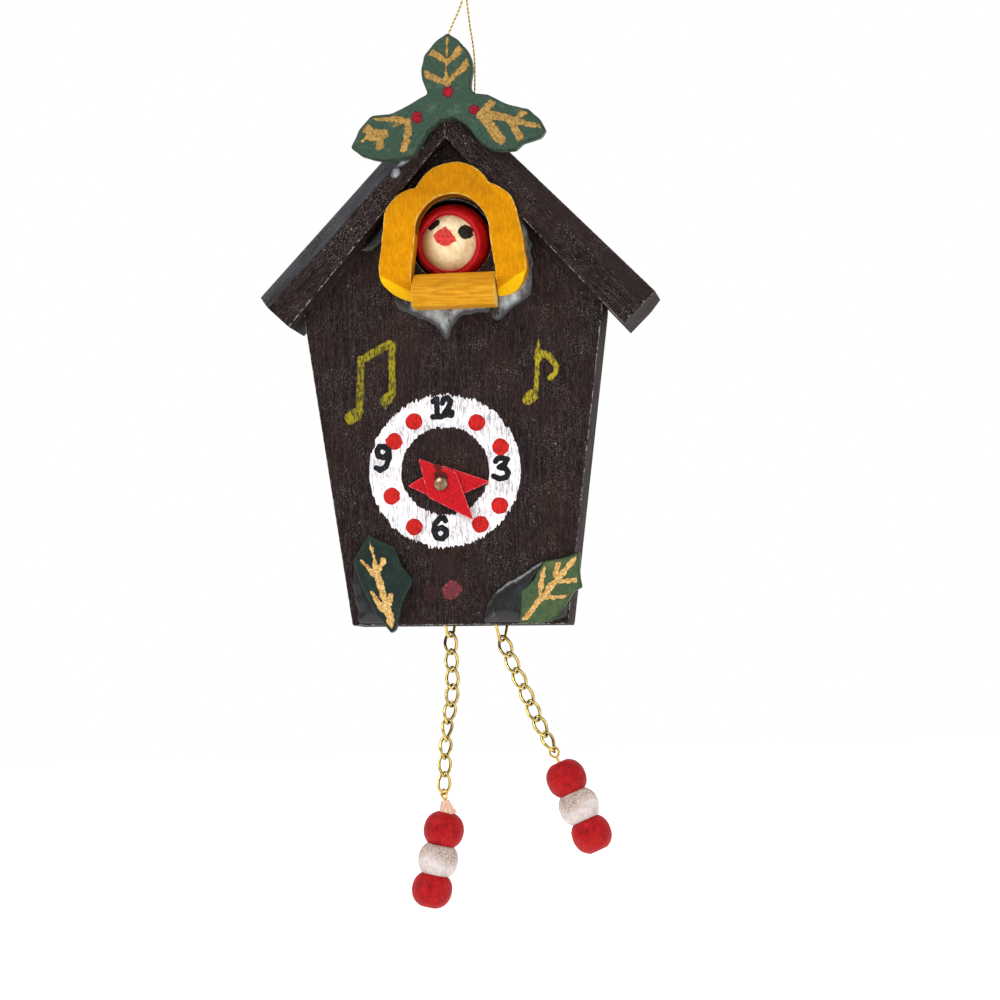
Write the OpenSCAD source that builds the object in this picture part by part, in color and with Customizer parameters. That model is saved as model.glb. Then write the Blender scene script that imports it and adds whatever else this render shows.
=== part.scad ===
// Painted wooden tree ornament in the shape of a small cuckoo clock.
// Millimetres, +Z up, front towards -Y. The origin is the top of the thread loop it hangs by.
// Each sub-part is drawn in the house's own frame, whose origin is the middle of the block's
// bottom front edge, and hung() then moves it below the loop.

/* [House block] */
// Width of the block at its bottom edge
body_bottom_w = 32; // [28:0.5:34]
// Extra half width per millimetre of height
body_flare = 0.14; // [0.1:0.01:0.16]
// Thickness of the block, front to back
body_d = 11; // [10.5:0.5:14]
// Height of the outer ridge above the block's bottom
ridge_z = 81; // [80.5:0.5:81.5]

/* [Roof] */
// Slope of both roof boards
roof_pitch = 46; // [45.5:0.5:46.5]
// Slope of the boards' undersides, which thin the boards towards the ridge
under_pitch = 48.5; // [48:0.5:49]
// Thickness of the roof boards at the ridge
ridge_t = 5.15; // [5:0.05:5.4]
// How far the ends of the boards are cut off square, in degrees
eave_cut = 8; // [0:1:12]
// Length of the left board's outer face
left_board_l = 42; // [38:0.2:46]
// Length of the right board's outer face
right_board_l = 44.2; // [40:0.2:48]
// How far the roof stands out in front of the block
roof_overhang = 3; // [2.5:0.5:4]
// Size of the bevel along the top front edge of each board
roof_bevel = 2.4; // [1:0.2:2.6]

/* [Window and bird] */
// Thickness of the yellow window frame
frame_t = 4.2; // [3.8:0.1:4.6]
// Depth of the sill from the block's face
sill_d = 5.2; // [4.8:0.1:5.6]
// Radius of the round pocket drilled for the bird's head
pocket_r = 6.2; // [6.1:0.05:6.3]
// Radius of the bird's wooden ball head
head_r = 5.1; // [4.8:0.1:5.2]
// Thickness of the felt hood over the head
hood_t = 0.6; // [0.4:0.1:0.7]

/* [Holly] */
// Thickness of the three-leaf sprig on the gable
sprig_t = 2.4; // [2:0.2:3]
// Thickness of the two single leaves
leaf_t = 1.9; // [1.5:0.1:2.5]

/* [Hands] */
// Thickness of each hand
hand_t = 0.5; // [0.4:0.05:0.6]
// Length of a hand from the nail to its long point
hand_long = 7.4; // [6.5:0.1:8]
// Length of a hand from the nail to its short point
hand_short = 5.2; // [4.5:0.1:6]
// Half the width of a hand
hand_half_w = 2.8; // [2.4:0.1:3.2]
// Radius of the nail's shank
nail_r = 0.45; // [0.4:0.01:0.5]

/* [Chains] */
// Distance from one chain link to the next
link_pitch = 2.65; // [2.62:0.01:2.68]
// Thickness of the chain's wire
link_wire = 0.42; // [0.36:0.01:0.42]
// Half the length of a link's centre line
link_a = 1.66; // [1.64:0.01:1.68]
// Half the width of a link's centre line
link_b = 0.88; // [0.86:0.01:0.92]
// How far each end of a curb link is twisted out of its middle plane
link_twist = 45; // [44:1:46]

/* [Beads] */
// Radius of the wooden beads
bead_r = 3.05; // [2.9:0.05:3.2]
// Distance from one bead's middle to the next
bead_pitch = 4.55; // [4.5:0.05:4.7]

/* [Hanging thread] */
// Thickness of the gold thread
thread_d = 0.3; // [0.3:0.05:0.45]

/* [Hidden] */

// Facets of round solids and of the small swept wires
$fn = 48;
wire_sides = 8;
link_rings = 20;
// Radial gap around pins in their holes, gap round the frame's rebate, and gap between the hands
pin_gap = 0.02;
fit_gap = 0.08;
hand_hole_gap = 0.05;
hand_gap = 0.1;
// A cut runs this far past the face that it opens
past = 1;

// Where the ornament hangs, in the house's frame
hang = [3.5, 0.6, 108];

// Colours
bark = "#2b2322";
leaf_green = "#2f5a48";
olive_green = "#4d6b45";
ochre = "#dc9a1c";
felt_red = "#c8102e";
bare_wood = "#ecd3a6";
hand_red = "#d0202a";
brass = "#b08a3c";
gold = "#d9b23a";
bead_red = "#a3161c";
bead_white = "#efe6da";
peg_pink = "#e0b095";
thread_gold = "#b8a85a";
glue_grey = "#9aa3a6";

// The block meets the roof along these lines
roof_run = tan(roof_pitch);
under_run = tan(under_pitch);
inner_ridge_z = ridge_z - ridge_t / cos(roof_pitch);
shoulder_z = (inner_ridge_z - body_bottom_w / 2 * under_run) / (1 + body_flare * under_run);
shoulder_x = body_bottom_w / 2 + body_flare * shoulder_z;
// The block's bottom left corner, which isn't sawn quite square
left_foot = [-body_bottom_w / 2 - 0.5, 0.75];

// Middle of the arched window, its width and the middle of the bird's head
window_x = 0.75;
arch_z = 59.1;
arch_r = 5.6;
arch_foot_half = 6.4;
arch_foot_z = 45;
sill_x = [-5.58, 7.08];
sill_z = [47.8, 53];
sill_bevel = 2.5;
head = [0.1, 2.9, 58.3];
pocket_d = head[1] + head_r + hood_t;
face_angle = 54;
face_tilt = [5.7, 0, -6.8];

// The nail that the hands turn on
nail = [-2.3, 0, 21.5];
nail_l = 6;
nail_head_r = 1.07;
nail_head_t = 0.6;
hour_turn = -1;
minute_turn = 50;
hand_front = 3 * hand_gap + 2 * hand_t;

// Chains: where each one starts below the block, and the lean of each link from the vertical
chain_y = 5;
left_start = [-2.35, chain_y, -0.9];
right_start = [5.5, chain_y, -1.75];
left_leans = [1, 1, 1, -7, -13, -7, -6, -2, -5];
right_leans = [20, 22, 23, 22, 22, 25, 27];
// Turn of each link about the chain's own line
left_spins = [0, 0, 0, 18, 36, 54, 36, 18, 0];
right_spins = [0, 0, 0, 0, 8, 26, 44];
// Half the slack in each joint of a chain: how far past the joint a link's end reaches
hook = link_a - link_pitch / 2;

// Wire staples that hold the chains, and the eye pins that hold the beads
wire_r = 0.22;
staple_bend_r = 0.6;
staple_splay = 14;
staple_leg = 5;
staple_turn = 45;
staple_slack = 0.4;
pin_r = 0.2;
eye_r = 0.7;
// An eye stands square to the end of the link that it hangs from
left_eye_turn = left_spins[len(left_spins) - 1] + link_twist + 90;
right_eye_turn = right_spins[len(right_spins) - 1] + link_twist + 90;

// Beads hang in line from these places, each line leaning by its own angle
bead_h = 2.9;
bead_seat_r = 1.3;
bead_round = 2.2;
left_bead_lean = -13;
right_bead_lean = 23;
left_beads = [-4.2, chain_y, -30.35];
right_eye_to_bead = 4.7;
pin_in_last_bead = 1;
bend_lap = 0.05;
peg_h = 1.9;
peg_r = [1.25, 0.6];

// Hanging thread, anchor to anchor, in the house's frame
thread_route = [
    [-0.4, 0.6, 81.6], [-0.4, 0.6, 83], [-0.3, 0.6, 85], [-0.1, 0.6, 87], [0.3, 0.6, 89],
    [1.1, 0.6, 91], [2, 0.6, 92.8], [2.7, 0.4, 94.4], [3.2, 0.25, 96], [3.6, 0.2, 97.5],
    [4.3, 0.3, 99.2], [5.3, 0.5, 101.2], [6.1, 0.6, 103.4], [6.1, 0.6, 105.5],
    [5.1, 0.6, 107.2], [3.5, 0.6, 107.8],
    [1.9, 0.6, 107.2], [0.9, 0.6, 105.5], [1, 0.6, 103.4], [1.7, 0.7, 101.2],
    [2.6, 0.9, 99.2], [3.2, 1, 97.5], [3.4, 0.95, 96], [3.5, 0.8, 94.4], [3.7, 0.6, 92.5],
    [3.9, 0.6, 90.5], [4.2, 0.6, 88.3], [4.4, 0.6, 86], [4.4, 0.6, 83.5], [4.3, 0.6, 81],
    [4.2, 0.6, 79], [4.2, 0.6, 77.6],
];
thread_steps = 2;
glue_r = 0.9;
glue_depth = 3;

// ---- Helpers -------------------------------------------------------------

// Moves a sub-part from the house's frame to below the hanging point
module hung() {
    translate(-hang) children();
}

// Extrudes an outline drawn in x and z, from y0 at the front to y1 at the back
module slab(y0, y1) {
    translate([0, y1, 0]) rotate([90, 0, 0]) linear_extrude(y1 - y0) children();
}

// A round bar along y
module bar_y(r, y0, y1) {
    translate([0, y1, 0]) rotate([90, 0, 0]) cylinder(r = r, h = y1 - y0);
}

// Unit vector that hangs down and leans towards +X
function down(lean) = [sin(lean), 0, -cos(lean)];

// Where the joint below link n of a chain is
function chain_joint(start, leans, n) =
    n == 0 ? start : chain_joint(start, leans, n - 1) + link_pitch * down(leans[n - 1]);

function unit(v) = v / norm(v);

// The part of v at right angles to the unit vector t
function across(v, t) = unit(v - (v * t) * t);

// A ring of a swept wire about p, in the plane of n and b
function wire_ring(p, n, b, r) =
    [for (j = [0:wire_sides - 1]) p + r * (cos(360 * j / wire_sides) * n + sin(360 * j / wire_sides) * b)];

// Two triangles for each side face between ring i and ring k
function band(i, k) = [
    for (j = [0:wire_sides - 1], tri = [0, 1])
        let (a = i * wire_sides + j, b = i * wire_sides + (j + 1) % wire_sides)
        let (c = k * wire_sides + j, d = k * wire_sides + (j + 1) % wire_sides)
        tri == 0 ? [a, b, c] : [b, d, c]
];

// Flattens a list of lists by one level
function flat(lists) = [for (l = lists, item = l) item];

// ---- House ---------------------------------------------------------------

module body_block() {
    outline = [
        left_foot, [body_bottom_w / 2, 0], [shoulder_x, shoulder_z],
        [0, inner_ridge_z], [-shoulder_x, shoulder_z],
    ];
    color(bark) hung() difference() {
        slab(0, body_d) polygon(outline);
        translate([head[0], 0, head[2]]) bar_y(pocket_r, -past, pocket_d);
        translate(nail) bar_y(nail_r + pin_gap, -past, nail_l + pin_gap);
        staple_holes(left_start);
        staple_holes(right_start);
    }
}

// One roof board, drawn on the right and cut plumb at the ridge
module roof_board(l) {
    eave = [l * cos(roof_pitch), ridge_z - l * sin(roof_pitch)];
    cut = roof_pitch - eave_cut;
    // The end runs down from the eave to the underside
    end_l = (eave[1] + eave[0] * under_run - inner_ridge_z) / (cos(cut) + sin(cut) * under_run);
    outline = [[0, ridge_z], eave, eave - end_l * [sin(cut), cos(cut)], [0, inner_ridge_z]];
    front = -roof_overhang;
    difference() {
        slab(front, body_d) polygon(outline);
        translate([0, 0, ridge_z]) rotate([0, roof_pitch, 0]) translate([-l, 0, 0]) rotate([90, 0, 90])
            linear_extrude(3 * l)
                polygon([
                    [front - past, past + roof_bevel], [front - past, -roof_bevel - past],
                    [front + roof_bevel + past, past],
                ]);
    }
}

module roof_left() {
    color(bark) hung() mirror([1, 0, 0]) roof_board(left_board_l);
}

module roof_right() {
    color(bark) hung() roof_board(right_board_l);
}

// ---- Window and bird -----------------------------------------------------

// The scalloped horseshoe: five lobes around a plain middle
module horseshoe() {
    difference() {
        union() {
            translate([1.1, 63.3]) circle(6.25);
            translate([5.3, 61]) circle(5.4);
            translate([-4.15, 60.6]) circle(5.35);
            translate([7.4, 53.7]) circle(4.4);
            translate([-6, 53.6]) circle(4.3);
            polygon([
                [-9.4, 61], [-10.1, 57.5], [-10.3, 54], [-5, 51], [6, 51], [11.75, 54],
                [11.3, 57.8], [10.8, 60.5], [6.5, 66.2], [-4.6, 65.9],
            ]);
        }
        translate([window_x, arch_z]) circle(arch_r);
        polygon([
            [window_x - arch_r, arch_z], [window_x + arch_r, arch_z],
            [window_x + arch_foot_half, sill_z[1]], [window_x + arch_foot_half, arch_foot_z],
            [window_x - arch_foot_half, arch_foot_z], [window_x - arch_foot_half, sill_z[1]],
        ]);
    }
}

module window_frame() {
    under = inner_ridge_z - fit_gap;
    color(ochre) hung() difference() {
        slab(-frame_t, 0) horseshoe();
        // a rebate lets the frame lap over the fronts of the roof boards
        slab(-roof_overhang - fit_gap, past)
            polygon([[0, under], [60, under - 60 * under_run], [60, 200], [-60, 200], [-60, under - 60 * under_run]]);
        // the lobes' lower edges slope back to the block
        translate([-20, 0, 0]) rotate([90, 0, 90]) linear_extrude(40)
            polygon([[-frame_t - past, 52.2], [-0.5, 49], [-0.5, 45], [-frame_t - past, 45]]);
    }
}

module window_sill() {
    color(ochre) hung() translate([sill_x[0], 0, 0]) rotate([90, 0, 90])
        linear_extrude(sill_x[1] - sill_x[0])
            polygon([
                [0, sill_z[0]], [0, sill_z[1]], [sill_bevel - sill_d, sill_z[1]],
                [-sill_d, sill_z[1] - sill_bevel], [-sill_d, sill_z[0]],
            ]);
}

module bird_head() {
    color(bare_wood) hung() translate(head) sphere(r = head_r);
}

// A felt hood: a shell over the ball, open at the face
module bird_hood() {
    shell = [head_r, head_r + hood_t];
    color(felt_red) hung() translate(head) rotate(face_tilt) rotate([90, 0, 0]) difference() {
        sphere(r = shell[1]);
        sphere(r = shell[0]);
        cylinder(r1 = 0, r2 = 2 * shell[1] * tan(face_angle), h = 2 * shell[1]);
    }
}

// ---- Holly ---------------------------------------------------------------

module holly_sprig() {
    top_leaf = [
        [1.1, 88.8], [-0.8, 87.6], [-2.5, 85.5], [-3, 83.5], [-2.9, 81.9], [-2.1, 79.8],
    ];
    left_leaf = [
        [-4.9, 78.3], [-7.7, 77], [-10.8, 76.9], [-12.6, 74.9], [-14, 72.2], [-12.4, 70.9],
        [-10, 70.1], [-7, 70], [-4.3, 70.6],
    ];
    inner_arch = [[-3.4, 72.2], [-2.2, 74], [-0.5, 75.6], [1.6, 76], [3.5, 74.9], [4.5, 73.5]];
    right_leaf = [
        [5.4, 72.1], [6.8, 71.1], [9, 70.6], [10.8, 70.7], [12, 71.8], [14.7, 72.4], [15.5, 73.5],
        [14.6, 75.2], [12.9, 76.8], [9.8, 77.6], [7, 79.2], [4.9, 79.5],
    ];
    neck = [[4.3, 80.4], [4.5, 82], [4.8, 83.4], [4.6, 84.7], [4, 86.2], [2.6, 87.8]];
    color(leaf_green) hung() slab(-roof_overhang - sprig_t, -roof_overhang)
        polygon(concat(top_leaf, left_leaf, inner_arch, right_leaf, neck));
}

module leaf_left() {
    color(leaf_green) hung() slab(-leaf_t, 0)
        polygon([
            [-13.4, 14.2], [-11.4, 13.1], [-9.6, 12.3], [-8.6, 9.4], [-6.9, 7.2], [-8.6, 3.8],
            [-9.7, -0.1], [-10.4, -0.6], [-11.6, 0.9], [-13, 2.8], [-14.8, 6.6], [-15.8, 10.4],
        ]);
}

module leaf_right() {
    color(olive_green) hung() slab(-leaf_t, 0)
        polygon([
            [18.3, 10.7], [15.6, 9.7], [12.8, 9.4], [11.2, 6.6], [9.3, 5], [9.2, 2.4], [8.7, 0.2],
            [11.4, 0.2], [13.9, 0.5], [16, 2.9], [17.2, 4.8], [18.4, 5.3], [18.1, 7.8],
        ]);
}

// ---- Hands ---------------------------------------------------------------

// A kite with its long point towards +X, turned clockwise as seen from the front
module hand(turn, y0) {
    translate([nail[0], 0, nail[2]]) rotate([0, turn, 0]) slab(y0, y0 + hand_t) difference() {
        polygon([[hand_long, 0], [0.2, hand_half_w], [-hand_short, 0], [0.2, -hand_half_w]]);
        circle(nail_r + hand_hole_gap);
    }
}

module hour_hand() {
    color(hand_red) hung() hand(hour_turn, -hand_gap - hand_t);
}

module minute_hand() {
    color(hand_red) hung() hand(minute_turn, -2 * hand_gap - 2 * hand_t);
}

module hand_nail() {
    dome_r = 2 * nail_head_r;
    color(brass) hung() translate(nail) union() {
        bar_y(nail_r, -hand_front - nail_head_t / 2, nail_l);
        intersection() {
            bar_y(nail_head_r, -hand_front - nail_head_t, -hand_front);
            translate([0, dome_r - hand_front - nail_head_t, 0]) sphere(r = dome_r);
        }
    }
}

// ---- Chains --------------------------------------------------------------

// A curb link's centre line: an oval whose ends are twisted opposite ways
function link_point(t) =
    let (z = link_a * sin(t), x = link_b * cos(t), turn = -link_twist * z / link_a)
    [x * cos(turn), x * sin(turn), z];

module curb_link() {
    step = 360 / link_rings;
    rings = [
        for (i = [0:link_rings - 1])
            let (p = link_point(i * step))
            let (t = unit(link_point(i * step + 1) - link_point(i * step - 1)))
            let (n = across(p, t))
            wire_ring(p, n, cross(t, n), link_wire / 2)
    ];
    polyhedron(
        points = flat(rings),
        faces = flat([for (i = [0:link_rings - 1]) band((i + 1) % link_rings, i)])
    );
}

// Link n of a chain, counted from the block
module chain_link(start, leans, spins, n) {
    lean = leans[n - 1];
    centre = chain_joint(start, leans, n - 1) + link_pitch / 2 * down(lean);
    color(gold) hung() translate(centre) rotate([0, -lean, 0]) rotate([0, 0, spins[n - 1]]) curb_link();
}

module link_left(n) {
    chain_link(left_start, left_leans, left_spins, n);
}

module link_right(n) {
    chain_link(right_start, right_leans, right_spins, n);
}

// Height of a staple leg's foot above the bend's middle
function staple_bend_z() = staple_bend_r - staple_slack;

// Places its child once for each leg of a staple, with +Z up along the leg
module staple_legs(start) {
    translate(start + [0, 0, staple_bend_z()]) rotate([0, 0, staple_turn])
        for (side = [-1, 1])
            rotate([0, side * staple_splay, 0]) translate([side * staple_bend_r, 0, 0]) children();
}

module staple_holes(start) {
    staple_legs(start) cylinder(r = wire_r + pin_gap, h = staple_leg + pin_gap);
}

module staple(start) {
    color(brass) hung() union() {
        staple_legs(start) cylinder(r = wire_r, h = staple_leg);
        translate(start + [0, 0, staple_bend_z()]) rotate([0, 0, staple_turn]) rotate([90, 0, 0])
            rotate([0, 0, 180 + staple_splay]) rotate_extrude(angle = 180 - 2 * staple_splay)
                translate([staple_bend_r, 0]) circle(wire_r);
    }
}

module staple_left() {
    staple(left_start);
}

module staple_right() {
    staple(right_start);
}

// ---- Beads ---------------------------------------------------------------

left_end = chain_joint(left_start, left_leans, len(left_leans));
right_end = chain_joint(right_start, right_leans, len(right_leans));
right_beads = right_end + right_eye_to_bead * down(right_bead_lean);

// Half the outline of a turned bead, rounder than a drum and squarer than a ball
bead_seat_a = asin(pow(bead_seat_r / bead_r, bead_round / 2));
bead_side = [
    for (a = [bead_seat_a:(180 - 2 * bead_seat_a) / 16:180 - bead_seat_a + 0.01])
        [bead_r * pow(sin(a), 2 / bead_round), bead_h * sign(cos(a)) * pow(abs(cos(a)), 2 / bead_round)]
];

// A bead about the origin, kept between the heights low and high
module bead(low, high, hole_from) {
    difference() {
        rotate_extrude() intersection() {
            polygon(concat([[0, bead_side[0][1]]], bead_side, [[0, -bead_side[0][1]]]));
            translate([0, low]) square([2 * bead_r, high - low]);
        }
        translate([0, 0, hole_from]) cylinder(r = pin_r + pin_gap, h = 3 * bead_r);
    }
}

// Puts its child n beads down a string of beads
module on_string(top, lean, n) {
    hung() translate(top + n * bead_pitch * down(lean)) rotate([0, -lean, 0]) children();
}

module top_bead(top, lean) {
    color(bead_red) on_string(top, lean, 0) bead(-bead_pitch / 2, bead_h, -2 * bead_r);
}

module middle_bead(top, lean) {
    color(bead_white) on_string(top, lean, 1) bead(-bead_pitch / 2, bead_pitch / 2, -2 * bead_r);
}

module bottom_bead(top, lean) {
    color(bead_red) on_string(top, lean, 2) bead(-bead_h, bead_pitch / 2, pin_in_last_bead);
}

module bead_left_top() {
    top_bead(left_beads, left_bead_lean);
}

module bead_left_middle() {
    middle_bead(left_beads, left_bead_lean);
}

module bead_left_bottom() {
    bottom_bead(left_beads, left_bead_lean);
}

module bead_right_top() {
    top_bead(right_beads, right_bead_lean);
}

module bead_right_middle() {
    middle_bead(right_beads, right_bead_lean);
}

module bead_right_bottom() {
    bottom_bead(right_beads, right_bead_lean);
}

// Height of a bead's flat seat above its middle
seat_h = bead_side[0][1];
left_seat = left_beads - seat_h * down(left_bead_lean);
left_neck = left_seat - left_end;
left_neck_lean = atan2(left_neck[0], -left_neck[2]);

// A round wire from one point of its xz plane to another, run on by a hair so that bends join up
module wire(from, to, r) {
    v = to - from;
    translate(from) rotate([0, atan2(v[0], v[2]), 0]) cylinder(r = r, h = norm(v) + bend_lap);
}

// An eye that a chain's last link hooks into, its shank running down through the beads
module eye_pin(end, eye_turn, neck_lean, top, lean) {
    eye_centre = end + (eye_r - hook) * down(neck_lean);
    shank_top = end + (2 * eye_r - hook) * down(neck_lean);
    bend = top - seat_h * down(lean);
    foot = top + (2 * bead_pitch - pin_in_last_bead - pin_gap) * down(lean);
    color(gold) hung() union() {
        translate(eye_centre) rotate([0, -neck_lean, 0]) rotate([0, 0, eye_turn]) rotate([90, 0, 0])
            rotate_extrude() translate([eye_r, 0]) circle(pin_r);
        if (neck_lean == lean) {
            wire(foot, shank_top, pin_r);
        } else {
            wire(shank_top, bend, pin_r);
            wire(foot, bend, pin_r);
        }
    }
}

module eye_pin_left() {
    eye_pin(left_end, left_eye_turn, left_neck_lean, left_beads, left_bead_lean);
}

module eye_pin_right() {
    eye_pin(right_end, right_eye_turn, right_bead_lean, right_beads, right_bead_lean);
}

// The wooden peg that wedges the left eye pin, cut flat where it sits on its bead
module bead_peg_left() {
    color(peg_pink) hung() difference() {
        translate(left_seat) rotate([0, -left_neck_lean, 0]) translate([0, 0, -past])
            difference() {
                cylinder(r1 = peg_r[0] + 0.15, r2 = peg_r[1], h = peg_h + past);
                cylinder(r = pin_r + pin_gap, h = 3 * peg_h, center = true);
            }
        translate(left_seat) rotate([0, -left_bead_lean, 0]) translate([0, 0, -2 * past])
            cylinder(r = 3, h = 2 * past);
        translate(left_seat) sphere(r = pin_r + pin_gap);
    }
}

// ---- Hanging thread ------------------------------------------------------

// A point of a smooth curve through a list, t from 0 to 1 along the span that starts at i
function on_curve(route, i, t) =
    let (last = len(route) - 1)
    let (p0 = route[max(i - 1, 0)], p1 = route[i], p2 = route[min(i + 1, last)], p3 = route[min(i + 2, last)])
    0.5 * (2 * p1 + (p2 - p0) * t + (2 * p0 - 5 * p1 + 4 * p2 - p3) * t * t
        + (3 * p1 - p0 - 3 * p2 + p3) * t * t * t);

module hanging_thread() {
    last = len(thread_route) - 1;
    line = concat(
        flat([for (i = [0:last - 1]) [for (s = [0:thread_steps - 1]) on_curve(thread_route, i, s / thread_steps)]]),
        [thread_route[last]]
    );
    end = len(line) - 1;
    rings = [
        for (i = [0:end])
            let (t = i == 0 || i == end ? [0, 0, i == 0 ? 1 : -1] : unit(line[i + 1] - line[i - 1]))
            let (n = across([0, 1, 0], t))
            wire_ring(line[i], n, cross(t, n), thread_d / 2)
    ];
    first_cap = [for (j = [0:wire_sides - 1]) j];
    last_cap = [for (j = [wire_sides - 1:-1:0]) end * wire_sides + j];
    color(thread_gold) hung() polyhedron(
        points = flat(rings),
        faces = concat([first_cap], flat([for (i = [0:end - 1]) band(i + 1, i)]), [last_cap])
    );
}

// A dab of glue on the roof under each end of the thread
module thread_glue() {
    last = len(thread_route) - 1;
    color(glue_grey) hung() for (foot = [thread_route[0], thread_route[last]]) difference() {
        translate(foot - [0, 0, glue_depth]) cylinder(r = glue_r, h = glue_depth);
        slab(-roof_overhang - past, body_d + past)
            polygon([[0, ridge_z], [60, ridge_z - 60 * roof_run], [-60, ridge_z - 60 * roof_run]]);
    }
}

// ---- Drawing -------------------------------------------------------------

body_block();
roof_left();
roof_right();
holly_sprig();
window_frame();
window_sill();
bird_head();
bird_hood();
leaf_left();
leaf_right();
hour_hand();
minute_hand();
hand_nail();
staple_left();
staple_right();
link_left(1);  // link_left_1
link_left(2);  // link_left_2
link_left(3);  // link_left_3
link_left(4);  // link_left_4
link_left(5);  // link_left_5
link_left(6);  // link_left_6
link_left(7);  // link_left_7
link_left(8);  // link_left_8
link_left(9);  // link_left_9
link_right(1);  // link_right_1
link_right(2);  // link_right_2
link_right(3);  // link_right_3
link_right(4);  // link_right_4
link_right(5);  // link_right_5
link_right(6);  // link_right_6
link_right(7);  // link_right_7
eye_pin_left();
eye_pin_right();
bead_peg_left();
bead_left_top();
bead_left_middle();
bead_left_bottom();
bead_right_top();
bead_right_middle();
bead_right_bottom();
hanging_thread();
thread_glue();
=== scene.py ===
"""A painted wooden tree ornament in the shape of a small cuckoo clock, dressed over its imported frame."""
import functools
import math

import bpy
import numpy as np
from mathutils import Matrix, Vector


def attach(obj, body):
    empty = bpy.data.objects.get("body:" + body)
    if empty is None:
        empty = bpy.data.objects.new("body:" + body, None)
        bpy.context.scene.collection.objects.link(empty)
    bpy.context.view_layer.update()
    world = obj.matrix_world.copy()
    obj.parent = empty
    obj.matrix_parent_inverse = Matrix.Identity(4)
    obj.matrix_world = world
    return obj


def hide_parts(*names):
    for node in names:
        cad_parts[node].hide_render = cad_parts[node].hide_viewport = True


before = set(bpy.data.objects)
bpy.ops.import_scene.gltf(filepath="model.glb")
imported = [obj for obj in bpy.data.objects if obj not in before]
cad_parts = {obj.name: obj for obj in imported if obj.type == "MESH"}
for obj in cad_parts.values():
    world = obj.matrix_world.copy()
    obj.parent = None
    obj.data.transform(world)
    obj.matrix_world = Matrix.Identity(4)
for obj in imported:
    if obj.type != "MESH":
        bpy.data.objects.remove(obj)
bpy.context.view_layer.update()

MM = 0.001
# Where the ornament hangs, in the house's own frame of millimetres, which every shape below is drawn in
HANG = (3.5, 0.6, 108.0)


def at(x, y, z):
    """A point of the house's frame, in metres of the row's frame."""
    return ((x - HANG[0]) * MM, (y - HANG[1]) * MM, (z - HANG[2]) * MM)


# ---- Camera ---------------------------------------------------------------

TARGET = Vector(at(6.29, 0.68, 18.87))
AZIMUTH, ELEVATION, ROLL = (math.radians(a) for a in (6.5, -3.5, -1.7))
DISTANCE = 0.52
FIELD = 0.15
forward = Vector((-math.sin(AZIMUTH) * math.cos(ELEVATION), math.cos(AZIMUTH) * math.cos(ELEVATION),
                  -math.sin(ELEVATION)))
side = Vector((math.cos(AZIMUTH), math.sin(AZIMUTH), 0))
above = side.cross(forward)
right = math.cos(ROLL) * side + math.sin(ROLL) * above
up = math.cos(ROLL) * above - math.sin(ROLL) * side
camera = bpy.data.objects.new("camera", bpy.data.cameras.new("camera"))
camera.data.sensor_width = 36
camera.data.lens = 36 * DISTANCE / FIELD
camera.data.clip_start = 0.01
camera.data.clip_end = 100
place = Matrix((right, up, -forward)).transposed().to_4x4()
place.translation = TARGET - DISTANCE * forward
camera.matrix_world = place
bpy.context.collection.objects.link(camera)
bpy.context.scene.camera = camera


# ---- Noise and fields -----------------------------------------------------

@functools.lru_cache(None)
def noise_table(seed):
    return np.random.RandomState(seed).rand(64, 64)


def noise(x, z, size, seed):
    """Smooth random values from 0 to 1 over arrays x and z. size is one number or a pair (across, up)."""
    table = noise_table(seed)
    sx, sz = size if isinstance(size, tuple) else (size, size)
    u, v = np.asarray(x, float) / sx, np.asarray(z, float) / sz
    i, j = np.floor(u).astype(int), np.floor(v).astype(int)
    u, v = u - i, v - j
    u, v = u * u * (3 - 2 * u), v * v * (3 - 2 * v)
    pick = lambda a, b: table[(i + a) % 64, (j + b) % 64]
    low = pick(0, 0) * (1 - u) + pick(1, 0) * u
    high = pick(0, 1) * (1 - u) + pick(1, 1) * u
    return low * (1 - v) + high * v


def jitter(x, z, size, seed):
    """One random value from -0.5 to 0.5."""
    return float(noise(x, z, size, seed)) - 0.5


def disc(x, z, cx, cz, r):
    return np.hypot(x - cx, z - cz) - r


def stroke(x, z, points, r):
    """Distance to a brush stroke of half width r. A point may carry its own half width as a third number."""
    best = np.full(np.shape(x), 1e9)
    for a, b in zip(points, points[1:]):
        vx, vz = b[0] - a[0], b[1] - a[1]
        t = np.clip(((x - a[0]) * vx + (z - a[1]) * vz) / (vx * vx + vz * vz), 0, 1)
        ra, rb = (p[2] if len(p) > 2 else r for p in (a, b))
        best = np.minimum(best, np.hypot(x - a[0] - t * vx, z - a[1] - t * vz) - ra - t * (rb - ra))
    return best


def strokes_field(x, z, strokes, r):
    return np.minimum.reduce([stroke(x, z, s, r) for s in strokes])


def polygon(x, z, points):
    """Signed distance to a closed outline, negative inside."""
    best = np.full(np.shape(x), 1e9)
    inside = np.zeros(np.shape(x), bool)
    for a, b in zip(points, points[1:] + points[:1]):
        vx, vz = b[0] - a[0], b[1] - a[1]
        t = np.clip(((x - a[0]) * vx + (z - a[1]) * vz) / (vx * vx + vz * vz), 0, 1)
        best = np.minimum(best, np.hypot(x - a[0] - t * vx, z - a[1] - t * vz))
        if a[1] != b[1]:
            crossing = a[0] + (z - a[1]) * vx / vz
            inside ^= ((a[1] > z) != (b[1] > z)) & (x < crossing)
    return np.where(inside, -best, best)


def rounded(points, rounds=2, cut=0.18):
    """An outline with its corners softened."""
    for _ in range(rounds):
        out = []
        for a, b in zip(points, points[1:] + points[:1]):
            out.append((a[0] + cut * (b[0] - a[0]), a[1] + cut * (b[1] - a[1])))
            out.append((b[0] - cut * (b[0] - a[0]), b[1] - cut * (b[1] - a[1])))
        points = out
    return points


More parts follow.
